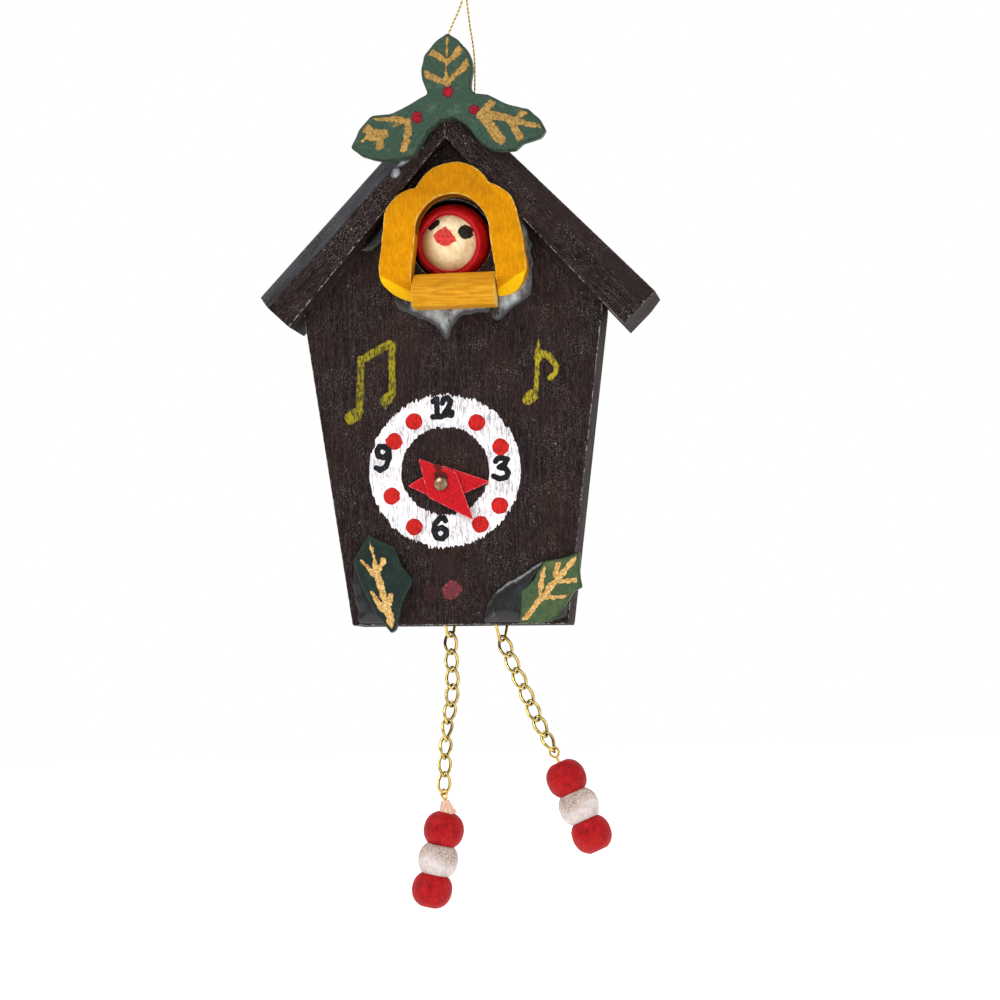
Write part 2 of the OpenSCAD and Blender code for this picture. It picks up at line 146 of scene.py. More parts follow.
def around(points, margin):
    """The box (x0, x1, z0, z1) that holds some points with a margin."""
    xs, zs = [p[0] for p in points], [p[1] for p in points]
    return min(xs) - margin, max(xs) + margin, min(zs) - margin, max(zs) + margin


# ---- Mesh helpers ---------------------------------------------------------

def ring_faces(rings, sides, caps=True):
    """Quads between the rings of a tube, and the polygons that close its two ends."""
    faces = []
    for i in range(rings - 1):
        for k in range(sides):
            l = (k + 1) % sides
            faces.append([i * sides + k, i * sides + l, (i + 1) * sides + l, (i + 1) * sides + k])
    if caps:
        faces.append(list(range(sides))[::-1])
        faces.append([(rings - 1) * sides + k for k in range(sides)])
    return faces


def grid(low, high, cell):
    n = max(2, int(math.ceil((high - low) / cell)))
    return np.linspace(low, high, n + 1)


def region(us, vs, value):
    """Cuts the part of a grid where value is below zero. Returns points (u, v, depth inside), faces and keys."""
    inside = value < 0
    points, faces, index, keys = [], [], {}, []

    def vertex(key):
        if key in index:
            return index[key]
        kind, i, j = key
        if kind == "n":
            p = (us[i], vs[j], -value[i, j])
        else:
            k, l = (i + 1, j) if kind == "h" else (i, j + 1)
            t = min(max(value[i, j] / (value[i, j] - value[k, l]), 0.04), 0.96)
            p = (us[i] + t * (us[k] - us[i]), vs[j] + t * (vs[l] - vs[j]), 0.0)
        index[key] = len(points)
        points.append(p)
        keys.append(key)
        return index[key]

    any_in = inside[:-1, :-1] | inside[1:, :-1] | inside[:-1, 1:] | inside[1:, 1:]
    for i, j in zip(*np.nonzero(any_in)):
        i, j = int(i), int(j)
        corners = [(i, j), (i + 1, j), (i + 1, j + 1), (i, j + 1)]
        edges = [("h", i, j), ("v", i + 1, j), ("h", i, j + 1), ("v", i, j)]
        face = []
        for c in range(4):
            a, b = corners[c], corners[(c + 1) % 4]
            if inside[a]:
                face.append(vertex(("n", *a)))
            if inside[a] != inside[b]:
                face.append(vertex(edges[c]))
        if len(face) > 2:
            faces.append(face)
    return points, faces, keys


def open_edges(faces):
    """Directed edges that only one face uses."""
    used = {(a, b) for f in faces for a, b in zip(f, f[1:] + f[:1])}
    return [e for e in used if (e[1], e[0]) not in used]


def finish_mesh(name, verts, faces, material, body="root", replaces=(), slot=None, values=None,
                sharp=35, place=at):
    """Makes a closed mesh piece from points in millimetres, with per-point values for its material."""
    mesh = bpy.data.meshes.new(name)
    mesh.from_pydata([place(*v) for v in verts], [], faces)
    for key, data in (values or {}).items():
        mesh.attributes.new(key, "FLOAT", "POINT").data.foreach_set("value", np.asarray(data, np.float32))
    mesh.validate()
    mesh.polygons.foreach_set("use_smooth", [True] * len(mesh.polygons))
    mesh.set_sharp_from_angle(angle=math.radians(sharp))
    mesh.materials.append(material)
    piece = bpy.data.objects.new(name, mesh)
    bpy.context.collection.objects.link(piece)
    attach(piece, body)
    if replaces:
        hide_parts(*replaces)
    return piece


def solid(name, us, vs, field, y0, y1, material, round_r=0.25, front=None, turn=0.0, origin=(0, 0),
          pocket=None, worn=None, tint=None, **more):
    """A board cut to where field(x, z) is below zero, with softened front and back edges.

    front(u, v) is how far the front is cut back from y0. The grid may be turned by turn about origin.
    pocket is a round blind hole (x, z, radius, depth) in an unturned board. worn(u, v) adds wear to the front, and
    tint(u, v, wall) marks the front or the walls for the material."""
    cu, su = math.cos(turn), math.sin(turn)
    xz = lambda u, v: (origin[0] + cu * u - su * v, origin[1] + su * u + cu * v)
    uu, vv = np.meshgrid(us, vs, indexing="ij")
    value = field(*xz(uu, vv))
    full, full_faces, full_keys = region(us, vs, value)
    if pocket:
        px, pz, pr, deep = pocket
        cut, cut_faces, cut_keys = region(us, vs, np.maximum(value, pr - np.hypot(uu - px, vv - pz)))
    else:
        cut, cut_faces, cut_keys = full, full_faces, full_keys
    drop = lambda d: round_r - math.sqrt(max(round_r ** 2 - max(round_r - d, 0) ** 2, 0))
    verts, faces, wear, tints = [], [], [], []

    def add(points, y, w, part="back"):
        start = len(verts)
        for (u, v, d), yy, ww in zip(points, y, w):
            x, z = xz(u, v)
            verts.append((x, yy, z))
            wear.append(max(ww, worn(u, v)) if worn and part == "front" else ww)
            tints.append(tint(u, v, part == "wall") if tint and part != "back" else 0.0)
        return start

    back_cut = lambda u, v: front(u, v) if front else 0.0
    fade = lambda d: max(0.0, 1 - d / 1.1)
    front_y = [y0 + back_cut(u, v) + drop(d) for u, v, d in cut]
    if pocket:
        # The pocket's edge stays crisp
        front_y = [y0 if abs(math.hypot(u - px, v - pz) - pr) < round_r else y
                   for (u, v, d), y in zip(cut, front_y)]
    f0 = add(cut, front_y, [fade(d) for u, v, d in cut], "front")
    faces += [[f0 + i for i in f] for f in cut_faces]
    b0 = add(full, [y1 - drop(d) for u, v, d in full], [fade(d) for u, v, d in full])
    faces += [[b0 + i for i in reversed(f)] for f in full_faces]
    front_at = {k: f0 + i for i, k in enumerate(cut_keys)}
    outer = {k: i for i, k in enumerate(full_keys)}
    walls = {}

    def wall(i):
        """The column of points from front to back at rim point i of the full board."""
        if i not in walls:
            u, v, d = full[i]
            ys = verts[front_at[full_keys[i]]][1]
            run = y1 - round_r - ys
            steps = [min(0.9, run * 0.3), max(run - 0.9, run * 0.7)]
            s = add([full[i]] * 2, [ys + t for t in steps], [0, 0], "wall")
            walls[i] = [front_at[full_keys[i]], s, s + 1, b0 + i]
        return walls[i]

    for a, b in open_edges(full_faces):
        ca, cb = wall(a), wall(b)
        for k in range(3):
            faces.append([cb[k], ca[k], ca[k + 1], cb[k + 1]])
    if pocket:
        hole = [e for e in open_edges(cut_faces) if cut_keys[e[0]] not in outer or cut_keys[e[1]] not in outer]
        floor = {i: add([cut[i]], [deep], [0]) for i in {i for e in hole for i in e}}
        centre = add([(px, pz, 0)], [deep], [0])
        for a, b in hole:
            faces.append([f0 + b, f0 + a, floor[a], floor[b]])
            faces.append([floor[b], floor[a], centre])
    return finish_mesh(name, verts, faces, material, values={"wear": wear, "tint": tints}, **more)


def paint(name, box, cell, field, material, height=0.05, soft=0.25, surface=None, y=0.0, sink=0.03, **more):
    """A film of paint or glue that lies on a surface where field(x, z) is below zero. It's thickest inside."""
    us, vs = grid(box[0], box[1], cell), grid(box[2], box[3], cell)
    uu, vv = np.meshgrid(us, vs, indexing="ij")
    points, faces, _ = region(us, vs, field(uu, vv))
    lie = surface or (lambda x, z: y)
    verts, depth = [], []
    for x, z, d in points:
        full = min(d / soft, 1)
        verts.append((x, lie(x, z) - 0.012 - height * math.sqrt(1 - (1 - full) ** 2), z))
        depth.append(full)
    n = len(points)
    for x, z, d in points:
        verts.append((x, lie(x, z) + sink, z))
        depth.append(0)
    out = [list(f) for f in faces] + [[n + i for i in reversed(f)] for f in faces]
    out += [[b, a, n + a, n + b] for a, b in open_edges(faces)]
    return finish_mesh(name, verts, out, material, values={"depth": depth}, sharp=60, **more)


def sweep(points, radius, sides=12, closed=False, shape=None):
    """A tube along points. shape(i, angle) gives the radius at ring i where it isn't the same all round."""
    pts = [np.array(p, float) for p in points]
    n = len(pts)
    verts, normal = [], None
    for i, p in enumerate(pts):
        if closed:
            t = pts[(i + 1) % n] - pts[i - 1]
        else:
            t = pts[min(i + 1, n - 1)] - pts[max(i - 1, 0)]
        t = t / np.linalg.norm(t)
        if normal is None:
            guess = np.array((0, 1, 0)) if abs(t[1]) < 0.9 else np.array((1, 0, 0))
            normal = guess - guess.dot(t) * t
        normal = normal - normal.dot(t) * t
        normal = normal / np.linalg.norm(normal)
        other = np.cross(t, normal)
        for k in range(sides):
            a = 2 * math.pi * k / sides
            r = shape(i, a) if shape else radius
            verts.append(tuple(p + r * (math.cos(a) * normal + math.sin(a) * other)))
    faces = ring_faces(n, sides, caps=not closed)
    if closed:
        # The last ring may be turned against the first: join each point to the nearest
        last = (n - 1) * sides
        shift = int(np.argmin(np.linalg.norm(np.array(verts[:sides]) - verts[last], axis=1)))
        for k in range(sides):
            l = (k + 1) % sides
            faces.append([last + k, last + l, (l + shift) % sides, (k + shift) % sides])
    return verts, faces


def joined(*parts):
    verts, faces = [], []
    for v, f in parts:
        faces += [[len(verts) + i for i in face] for face in f]
        verts += v
    return verts, faces


def lathe(profile, sides, wobble=None):
    """Turns a profile of (radius, height) about +Z. Its ends close in a point or a flat."""
    verts = []
    for r, h in profile:
        for k in range(sides):
            a = 2 * math.pi * k / sides
            s = 1 + (wobble(a, h) if wobble else 0)
            verts.append((r * s * math.cos(a), r * s * math.sin(a), h))
    return verts, ring_faces(len(profile), sides)


# ---- Materials ------------------------------------------------------------

def rgb(code):
    """A linear colour from a hex one."""
    c = [int(code[i:i + 2], 16) / 255 for i in (1, 3, 5)]
    return tuple(v / 12.92 if v <= 0.04045 else ((v + 0.055) / 1.055) ** 2.4 for v in c) + (1,)


class Look:
    """A procedural material that is built up one node at a time."""

    def __init__(self, name, **sockets):
        self.material = bpy.data.materials.new(name)
        self.material.use_nodes = True
        self.tree = self.material.node_tree
        self.tree.nodes.clear()
        self.shader = self.add("ShaderNodeBsdfPrincipled")
        out = self.add("ShaderNodeOutputMaterial")
        self.tree.links.new(self.shader.outputs[0], out.inputs[0])
        for key, value in sockets.items():
            self.shader.inputs[key.replace("_", " ")].default_value = value
        self.coords = self.add("ShaderNodeTexCoord").outputs["Object"]

    def add(self, kind, **props):
        node = self.tree.nodes.new(kind)
        for key, value in props.items():
            setattr(node, key, value)
        return node

    def put(self, socket, value):
        if isinstance(value, bpy.types.NodeSocket):
            self.tree.links.new(value, socket)
        else:
            socket.default_value = value

    def vector(self, scale, turn=0):
        """The place on the piece in millimetres, turned by degrees about Y and then stretched."""
        spin = self.add("ShaderNodeMapping")
        self.put(spin.inputs["Vector"], self.coords)
        spin.inputs["Rotation"].default_value = (0, math.radians(turn), 0)
        stretch = self.add("ShaderNodeMapping")
        self.put(stretch.inputs["Vector"], spin.outputs[0])
        scales = scale if isinstance(scale, tuple) else (scale,) * 3
        stretch.inputs["Scale"].default_value = [s / MM for s in scales]
        return stretch.outputs[0]

    def noise(self, scale, turn=0, detail=4.0, rough=0.6, distortion=0.0):
        """Noise with so many features to the millimetre, in all directions or in each."""
        n = self.add("ShaderNodeTexNoise")
        self.put(n.inputs["Vector"], self.vector(scale, turn))
        for key, value in (("Scale", 1), ("Detail", detail), ("Roughness", rough), ("Distortion", distortion)):
            n.inputs[key].default_value = value
        return n.outputs["Fac"]

    def cells(self, scale, size, turn=0, output="Distance"):
        n = self.add("ShaderNodeTexVoronoi")
        self.put(n.inputs["Vector"], self.vector(scale, turn))
        n.inputs["Scale"].default_value = size
        return n.outputs[output]

    def ramp(self, fac, low, high, a=0.0, b=1.0):
        """fac mapped from low..high to a..b, held at both ends."""
        n = self.add("ShaderNodeMapRange")
        self.put(n.inputs["Value"], fac)
        for key, value in (("From Min", low), ("From Max", high), ("To Min", a), ("To Max", b)):
            self.put(n.inputs[key], value)
        return n.outputs["Result"]

    def math(self, op, a, b=0.0):
        n = self.add("ShaderNodeMath", operation=op)
        self.put(n.inputs[0], a)
        self.put(n.inputs[1], b)
        return n.outputs[0]

    def mix(self, fac, a, b):
        n = self.add("ShaderNodeMix", data_type="RGBA")
        self.put(n.inputs[0], fac)
        self.put(n.inputs[6], rgb(a) if isinstance(a, str) else a)
        self.put(n.inputs[7], rgb(b) if isinstance(b, str) else b)
        return n.outputs[2]

    def layer(self, color, fac, low, high, over, most=1.0):
        """color with another over it, from none where fac is low to most of it where fac is high."""
        return self.mix(self.ramp(fac, low, high, 0, most), color, over)

    def sum(self, *terms):
        """The sum of some (value, weight) pairs."""
        out = None
        for value, weight in terms:
            term = self.math("MULTIPLY", value, weight)
            out = term if out is None else self.math("ADD", out, term)
        return out

    def value(self, name):
        return self.add("ShaderNodeAttribute", attribute_name=name).outputs["Fac"]

    def bump(self, height, strength=0.3, distance=0.1):
        n = self.add("ShaderNodeBump")
        n.inputs["Strength"].default_value = strength
        n.inputs["Distance"].default_value = distance * MM
        self.put(n.inputs["Height"], height)
        self.put(self.shader.inputs["Normal"], n.outputs[0])

    def done(self, color, roughness=None):
        self.put(self.shader.inputs["Base Color"], color)
        if roughness is not None:
            self.put(self.shader.inputs["Roughness"], roughness)
        return self.material


def black_wood(name, turn, film="#1d1717", gloss=0.0, salt=1.0):
    """Thin brown-black paint over wood whose grain runs at turn degrees from the vertical.

    film is the colour of what has dried on the part of the front that carries the tint, and gloss its shine. On
    the left roof board that film's bluish grey is painted reflection over a real glossy coat.
    salt is how strongly the pale specks show."""
    k = Look(name, Specular_IOR_Level=0.03)
    grain = k.noise((3.2, 3.2, 0.16), turn, detail=5)
    fine = k.noise((9, 9, 1.2), turn, detail=3)
    cloud = k.noise((0.12, 0.12, 0.1), detail=3)
    color = k.layer("#161111", grain, 0.42, 0.72, "#32262a")
    color = k.layer(color, fine, 0.52, 0.78, "#5a4a44", 0.8)
    color = k.layer(color, cloud, 0.4, 0.7, "#32231e", 0.45)
    haze = k.noise((0.3, 0.3, 0.12), turn, detail=4)
    film_here = k.math("MULTIPLY", k.value("tint"), k.ramp(haze, 0.34, 0.62, 0.25, 1))
    # film_here lays the film's colour: on the left roof board a painted reflection
    color = k.mix(film_here, color, film)
    dust = k.noise(0.22, detail=2)
    for size, low, high, strength in ((0.7, 0.11, 0.05, 0.55), (2.4, 0.2, 0.1, 0.32), (4.6, 0.32, 0.16, 0.3)):
        speck = k.cells((1, 1, 0.8), size, 17 * size)
        speck = k.math("MULTIPLY", k.ramp(speck, low, high), k.ramp(dust, 0.42, 0.66, 0.1, 1))
        color = k.mix(k.math("MULTIPLY", speck, strength * salt), color, "#9d968d")
    ragged = k.noise(1.6, detail=5, rough=0.7)
    worn = k.sum((k.value("wear"), 0.62), (ragged, 0.62))
    color = k.layer(color, worn, 0.88, 0.98, "#a5a19a", 0.8)
    k.bump(k.sum((grain, 0.7), (fine, 0.5)), 0.45, 0.12)
    if gloss:
        k.put(k.shader.inputs["Coat Weight"], k.math("MULTIPLY", film_here, gloss))
        k.shader.inputs["Coat Roughness"].default_value = 0.3
    return k.done(color, k.ramp(cloud, 0.3, 0.7, 0.55, 0.75))


def green_paint(name, base, dark, edge, turn=0, pale="#6b8a72"):
    """Satin green paint, darker in the grain and worn brown along the edges."""
    k = Look(name, Specular_IOR_Level=0.15)
    grain = k.noise((6, 6, 1.6), turn, detail=6, rough=0.7)
    blotch = k.noise(0.5, detail=4)
    color = k.layer(dark, grain, 0.35, 0.65, base)
    color = k.layer(color, blotch, 0.52, 0.75, pale, 0.5)
    ragged = k.noise(2.2, detail=4)
    worn = k.sum((k.value("wear"), 0.6), (ragged, 0.6))
    color = k.layer(color, worn, 0.72, 0.9, edge, 0.85)
    k.bump(k.math("ADD", grain, k.math("MULTIPLY", blotch, 0.5)), 0.35, 0.1)
    return k.done(color, k.ramp(grain, 0.3, 0.7, 0.42, 0.6))


def yellow_wood(name, base, streak, deep, grain_scale):
    """Ochre stain over wood grain, with a pale rubbed edge, which along the edges of the sill's sloping top is a
    painted highlight. A tint above zero paints shade in brown, and a tint below zero paints light in bright
    yellow.
    """
    k = Look(name, Specular_IOR_Level=0.02)
    wide = k.noise(grain_scale, detail=6, rough=0.65)
    fine = k.noise(tuple(3 * s for s in grain_scale), detail=4)
    cloud = k.noise(0.25, detail=3)
    color = k.layer(streak, wide, 0.4, 0.66, base)
    color = k.layer(color, fine, 0.58, 0.74, deep, 0.6)
    color = k.layer(color, cloud, 0.52, 0.75, deep, 0.35)
    ragged = k.noise(1.8, detail=4)
    worn = k.sum((k.value("wear"), 0.7), (ragged, 0.4))
    color = k.layer(color, worn, 0.78, 0.92, "#f3cf6a", 0.85)
    # Painted shade in brown where the tint is above zero, painted light in bright yellow where it is below zero
    color = k.layer(color, k.value("tint"), 0.3, 0.9, "#5c2c10", 0.85)
    color = k.layer(color, k.value("tint"), -0.3, -0.9, "#f0bd12", 0.8)
    k.bump(k.math("ADD", wide, k.math("MULTIPLY", fine, 0.6)), 0.4, 0.1)
    return k.done(color, k.ramp(cloud, 0.3, 0.7, 0.38, 0.55))


def flecked(name, base, fleck, amount, grain=(7, 7, 0.9), edge=None, rough=0.55, bump=0.3, shine=0.3):
    """Brushed paint that lets flecks of what is under it show through along the grain."""
    k = Look(name, Specular_IOR_Level=shine)
    n = k.noise(grain, detail=5, rough=0.7)
    spread = k.noise(0.35, detail=3)
    mask = k.ramp(k.math("ADD", n, k.math("MULTIPLY", spread, 0.35)), 0.98 - amount, 0.86 - amount)
    color = k.mix(k.ramp(mask, 0, 1, 1, 0), base, fleck)
    if edge:
        rim = k.math("ADD", k.value("depth"), k.math("MULTIPLY", n, 0.7))
        color = k.layer(color, rim, 0.95, 0.45, edge)
    k.bump(n, bump, 0.06)
    return k.done(color, k.ramp(n, 0.3, 0.7, rough - 0.08, rough + 0.1))


def gold_paint(name, base="#b8914b", dark="#80602f", bright="#d2ae6a"):
    """Gold paint with glitter in it, outlined where it dried thin."""
    k = Look(name, Metallic=0.15, Specular_IOR_Level=0.2)
    grit = k.cells(1, 6.5, output="Color")
    split = k.add("ShaderNodeSeparateColor")
    k.put(split.inputs[0], grit)
    n = k.noise(2.5, detail=5, rough=0.75)
    color = k.layer(dark, n, 0.42, 0.62, base)
    color = k.layer(color, split.outputs[0], 0.3, 0.0, dark, 0.22)
    color = k.layer(color, split.outputs[1], 0.8, 0.95, bright, 0.7)
    color = k.layer(color, k.value("depth"), 0.4, 0.0, "#4a3a20", 0.8)
    k.bump(k.math("ADD", split.outputs[2], n), 0.6, 0.08)
    return k.done(color, k.ramp(split.outputs[1], 0.75, 0.95, 0.55, 0.25))


def glue(name, thin, thick, rough=0.16):
    """Clear glue that has dried milky where it lies thick."""
    k = Look(name, Specular_IOR_Level=0.3, Coat_Weight=0.35, Coat_Roughness=0.1)
    n = k.noise((0.45, 0.45, 0.3), detail=4, rough=0.6)
    fine = k.noise(2.5, detail=3)
    milky = k.math("MULTIPLY", k.ramp(n, 0.4, 0.68), k.ramp(k.value("depth"), 0.35, 1))
    color = k.mix(milky, thin, thick)
    k.bump(k.math("ADD", n, k.math("MULTIPLY", fine, 0.12)), 0.3, 0.25)
    return k.done(color, k.ramp(fine, 0.3, 0.7, rough, rough + 0.2))


def bead_paint(name, base, deep, pale, lean, tan=None):
    """Matt bead paint with pores, rubbed on the high spots. tan is the colour of dirt specks on a bead's upper
    half, which is also painted greyer as shade.
    """
    k = Look(name, Specular_IOR_Level=0.12)
    cloud = k.noise(0.7, detail=4)
    grain = k.noise((4.5, 4.5, 0.9), lean, detail=5, rough=0.7)
    n = k.sum((cloud, 0.45), (grain, 0.55))
    pore = k.cells((1.6, 1.6, 0.7), 1.5, lean)
    pit = k.ramp(pore, 0.16, 0.05)
    color = k.layer(deep, n, 0.36, 0.5, base)
    color = k.layer(color, n, 0.52, 0.66, pale, 0.6)
    color = k.mix(k.math("MULTIPLY", pit, 0.6), color, deep)
    if tan:
        grit = k.noise(5, detail=3, rough=0.8)
        dirt = k.math("MULTIPLY", k.ramp(grit, 0.48, 0.56), k.value("shade"))
        # Painted shade: the upper half is greyer where shade is high
        color = k.layer(color, k.value("shade"), 0.1, 0.9, "#c4ad9a", 0.45)
        color = k.mix(k.math("MULTIPLY", dirt, 0.85), color, tan)
    k.bump(k.math("SUBTRACT", n, k.math("MULTIPLY", pit, 0.8)), 0.55, 0.2)
    return k.done(color, k.ramp(n, 0.35, 0.65, 0.42, 0.62))


def gold_wire(name, base, tint, rough):
    k = Look(name, Metallic=1.0)
    n = k.noise(1.4, detail=4)
    stain = k.noise(5, detail=3)
    color = k.layer(tint, n, 0.35, 0.65, base)
    color = k.layer(color, stain, 0.6, 0.75, "#7a5216", 0.6)
    # inner paints shade and dark reflections into the wire's colour
    color = k.layer(color, k.value("inner"), 0.1, 0.85, "#3d3008", 0.94)
    k.bump(stain, 0.15, 0.03)
    return k.done(color, k.ramp(stain, 0.3, 0.7, rough, rough + 0.16))


MAT_BODY = black_wood("body_paint", 0)
# The left board's bevel: glue with a real glossy coat, its bluish grey colour a painted reflection
MAT_ROOF_LEFT = black_wood("roof_left_paint", -44, "#2b2e34", 0.5, 1.6)
MAT_ROOF_RIGHT = black_wood("roof_right_paint", 44, "#2c2120", 0.0, 1.5)
MAT_SPRIG = green_paint("sprig_paint", "#3b5444", "#22362b", "#2a2c20", pale="#5a705c")
MAT_LEAF_LEFT = green_paint("leaf_left_paint", "#1d2f28", "#0f1916", "#30382f", pale="#2c4239")
MAT_LEAF_RIGHT = green_paint("leaf_right_paint", "#4a6038", "#2d4030", "#24301f", turn=-25, pale="#6a7a48")
MAT_FRAME = yellow_wood("frame_stain", "#d6900a", "#bf7c06", "#8a5604", (3.0, 3.0, 1.1))
MAT_SILL = yellow_wood("sill_stain", "#dba02a", "#bd7d16", "#7d470c", (0.25, 2.6, 3.0))
MAT_GOLD = gold_paint("gold_paint")
MAT_GOLD_BRIGHT = gold_paint("gold_paint_bright", "#e4b96e", "#a87c3c", "#ffeab6")
MAT_BERRY = flecked("berry_paint", "#9c1728", "#64101c", 0.24, grain=(3, 3, 3), edge="#560f18", shine=0.1)
MAT_OLD_BERRY = flecked("old_berry_paint", "#a03241", "#5a1d24", 0.31, grain=(3, 3, 2), edge="#4a1a1e")
MAT_FADED_BERRY = flecked("faded_berry_paint", "#4a1e20", "#2a1a19", 0.35, grain=(3, 3, 2), edge="#2a1b1a",
                          shine=0.12)
MAT_DIAL = flecked("dial_paint", "#e9e5e7", "#98949a", 0.19)
MAT_DOT = flecked("dot_paint", "#c4221f", "#9c1815", 0.24, grain=(5, 5, 1.5), edge="#9c1a16", shine=0.1)
MAT_NUMERAL = flecked("numeral_paint", "#0e0e12", "#2c2c34", 0.16, grain=(4, 4, 2), rough=0.5, shine=0.15)
MAT_NOTE = flecked("note_paint", "#918517", "#4a431c", 0.24, grain=(4, 4, 1.5), edge="#5c541c", shine=0.1)
MAT_NOTE_BRIGHT = flecked("note_paint_bright", "#a39320", "#54491c", 0.22, grain=(4, 4, 1.5), edge="#6a5c1c",
                          shine=0.1)
MAT_NAIL_MARK = flecked("nail_mark_paint", "#2a1512", "#5a1a18", 0.3, grain=(4, 4, 4), edge="#7a1a1c", shine=0.1)
MAT_GLUE = glue("glue_milky", "#262223", "#bfc9cf")
MAT_GLUE_DARK = glue("glue_dark", "#120f0e", "#2a2f38")
MAT_GLUE_WHITE = glue("glue_white", "#5a5c60", "#c9ccd0", 0.3)
MAT_BEAD = {}
for side_name, lean in (("left", 13), ("right", -23)):
    MAT_BEAD["red", side_name] = bead_paint(f"bead_red_paint_{side_name}", "#a30c12", "#70090e", "#c43329", lean)
    MAT_BEAD["white", side_name] = bead_paint(f"bead_white_paint_{side_name}", "#cec2be", "#ab9d98", "#e6dedc",
                                              lean,
                                              "#755a4e")
MAT_CHAIN = gold_wire("chain_gold", "#e0c872", "#a8883a", 0.16)
MAT_PIN = gold_wire("pin_gold", "#e8c878", "#c79a50", 0.22)
MAT_NAIL = gold_wire("nail_metal", "#a89078", "#6d4c36", 0.28)


def peg_wood():
    k = Look("peg_wood", Specular_IOR_Level=0.35)
    n = k.noise((3, 3, 0.6), detail=5)
    color = k.layer("#c9967c", n, 0.35, 0.65, "#edcdb2")
    stain = k.noise(0.8, detail=3)
    color = k.layer(color, stain, 0.5, 0.7, "#c4655c", 0.6)
    k.bump(n, 0.4, 0.1)
    return k.done(color, k.ramp(n, 0.3, 0.7, 0.5, 0.65))


def face_wood():
    """Bare turned wood, darker and browner towards its left side and its bottom."""
    k = Look("face_wood", Specular_IOR_Level=0.35)
    n = k.noise((1.2, 1.2, 0.5), 35, detail=6, rough=0.7)
    fine = k.noise(5, detail=3)
    color = k.layer("#dcbd8a", n, 0.36, 0.62, "#f6e3bd")
    color = k.layer(color, k.value("shade"), 0.15, 0.85, "#b98f5c", 0.75)
    color = k.layer(color, fine, 0.58, 0.75, "#c9a677", 0.35)
    k.bump(k.math("ADD", n, k.math("MULTIPLY", fine, 0.3)), 0.35, 0.15)
    return k.done(color, k.ramp(n, 0.3, 0.7, 0.55, 0.7))


def felt(name, base, deep, bright):
    k = Look(name, Specular_IOR_Level=0.05, Sheen_Weight=0.9, Sheen_Roughness=0.4)
    k.shader.inputs["Sheen Tint"].default_value = rgb("#ff3a34")
    n = k.noise(3, detail=6, rough=0.75)
    wool = k.noise(9, detail=3, rough=0.8, distortion=1.2)
    color = k.layer(deep, n, 0.38, 0.62, base)
    color = k.layer(color, wool, 0.55, 0.75, bright, 0.6)
    # Painted highlight: pink along the hood's rim, where shade is high
    color = k.layer(color, k.value("shade"), 0.3, 1, "#f4525a", 0.55)
    k.bump(k.math("ADD", n, wool), 0.9, 0.2)
    return k.done(color, k.ramp(n, 0.3, 0.7, 0.8, 0.95))


def thread_foil():
    """Gold foil wound round a dark core."""
    k = Look("thread_foil", Metallic=0.85)
    n = k.noise(4, detail=3)
    wind = k.value("wind")
    color = k.layer("#5c4a18", wind, 0.3, 0.6, "#d8c266")
    color = k.layer(color, n, 0.6, 0.75, "#fff0b0", 0.7)
    k.bump(n, 0.4, 0.03)
    return k.done(color, k.ramp(n, 0.3, 0.7, 0.25, 0.45))


# ---- Hanging thread -------------------------------------------------------

THREAD_ROUTE = [
    (-0.4, 0.6, 81.6), (-0.4, 0.6, 83), (-0.3, 0.6, 85), (-0.1, 0.6, 87), (0.3, 0.6, 89),
    (1.1, 0.6, 91), (2, 0.6, 92.8), (2.7, 0.4, 94.4), (3.2, 0.25, 96), (3.6, 0.2, 97.5),
    (4.3, 0.3, 99.2), (5.3, 0.5, 101.2), (6.1, 0.6, 103.4), (6.1, 0.6, 105.5),
    (5.1, 0.6, 107.2), (3.5, 0.6, 107.8),
    (1.9, 0.6, 107.2), (0.9, 0.6, 105.5), (1, 0.6, 103.4), (1.7, 0.7, 101.2),
    (2.6, 0.9, 99.2), (3.2, 1, 97.5), (3.4, 0.95, 96), (3.5, 0.8, 94.4), (3.7, 0.6, 92.5),
    (3.9, 0.6, 90.5), (4.2, 0.6, 88.3), (4.4, 0.6, 86), (4.4, 0.6, 83.5), (4.3, 0.6, 81),
    (4.2, 0.6, 79), (4.2, 0.6, 77.6),
]
THREAD_R = 0.15


def smooth_line(route, steps):
    """A smooth curve through every point of a route."""
    p = [np.array(q, float) for q in route]
    out = []
    for i in range(len(p) - 1):
        a, b, c, d = p[max(i - 1, 0)], p[i], p[i + 1], p[min(i + 2, len(p) - 1)]
        for s in range(steps):
            t = s / steps
            out.append(0.5 * (2 * b + (c - a) * t + (2 * a - 5 * b + 4 * c - d) * t * t
                              + (3 * b - a - 3 * c + d) * t ** 3))
    out.append(p[-1])
    return out


def make_thread():
    line = smooth_line(THREAD_ROUTE, 12)
    sides = 12
    run = np.concatenate(([0], np.cumsum([np.linalg.norm(b - a) for a, b in zip(line, line[1:])])))
    twist = lambda i: 2 * math.pi * run[i] / 1.3
    lobes = lambda i, a: THREAD_R * (0.84 + 0.16 * math.cos(2 * (a - twist(i))))
    verts, faces = sweep(line, THREAD_R, sides, shape=lobes)
    wind = [0.5 + 0.5 * math.cos(2 * (2 * math.pi * k / sides - twist(i))) for i in range(len(line))
            for k in range(sides)]
    piece = finish_mesh("hanging_thread_visual", verts, faces, thread_foil(), replaces=["hanging_thread"],
                        slot="gold_thread", values={"wind": wind}, sharp=80)


make_thread()

# ---- House ----------------------------------------------------------------

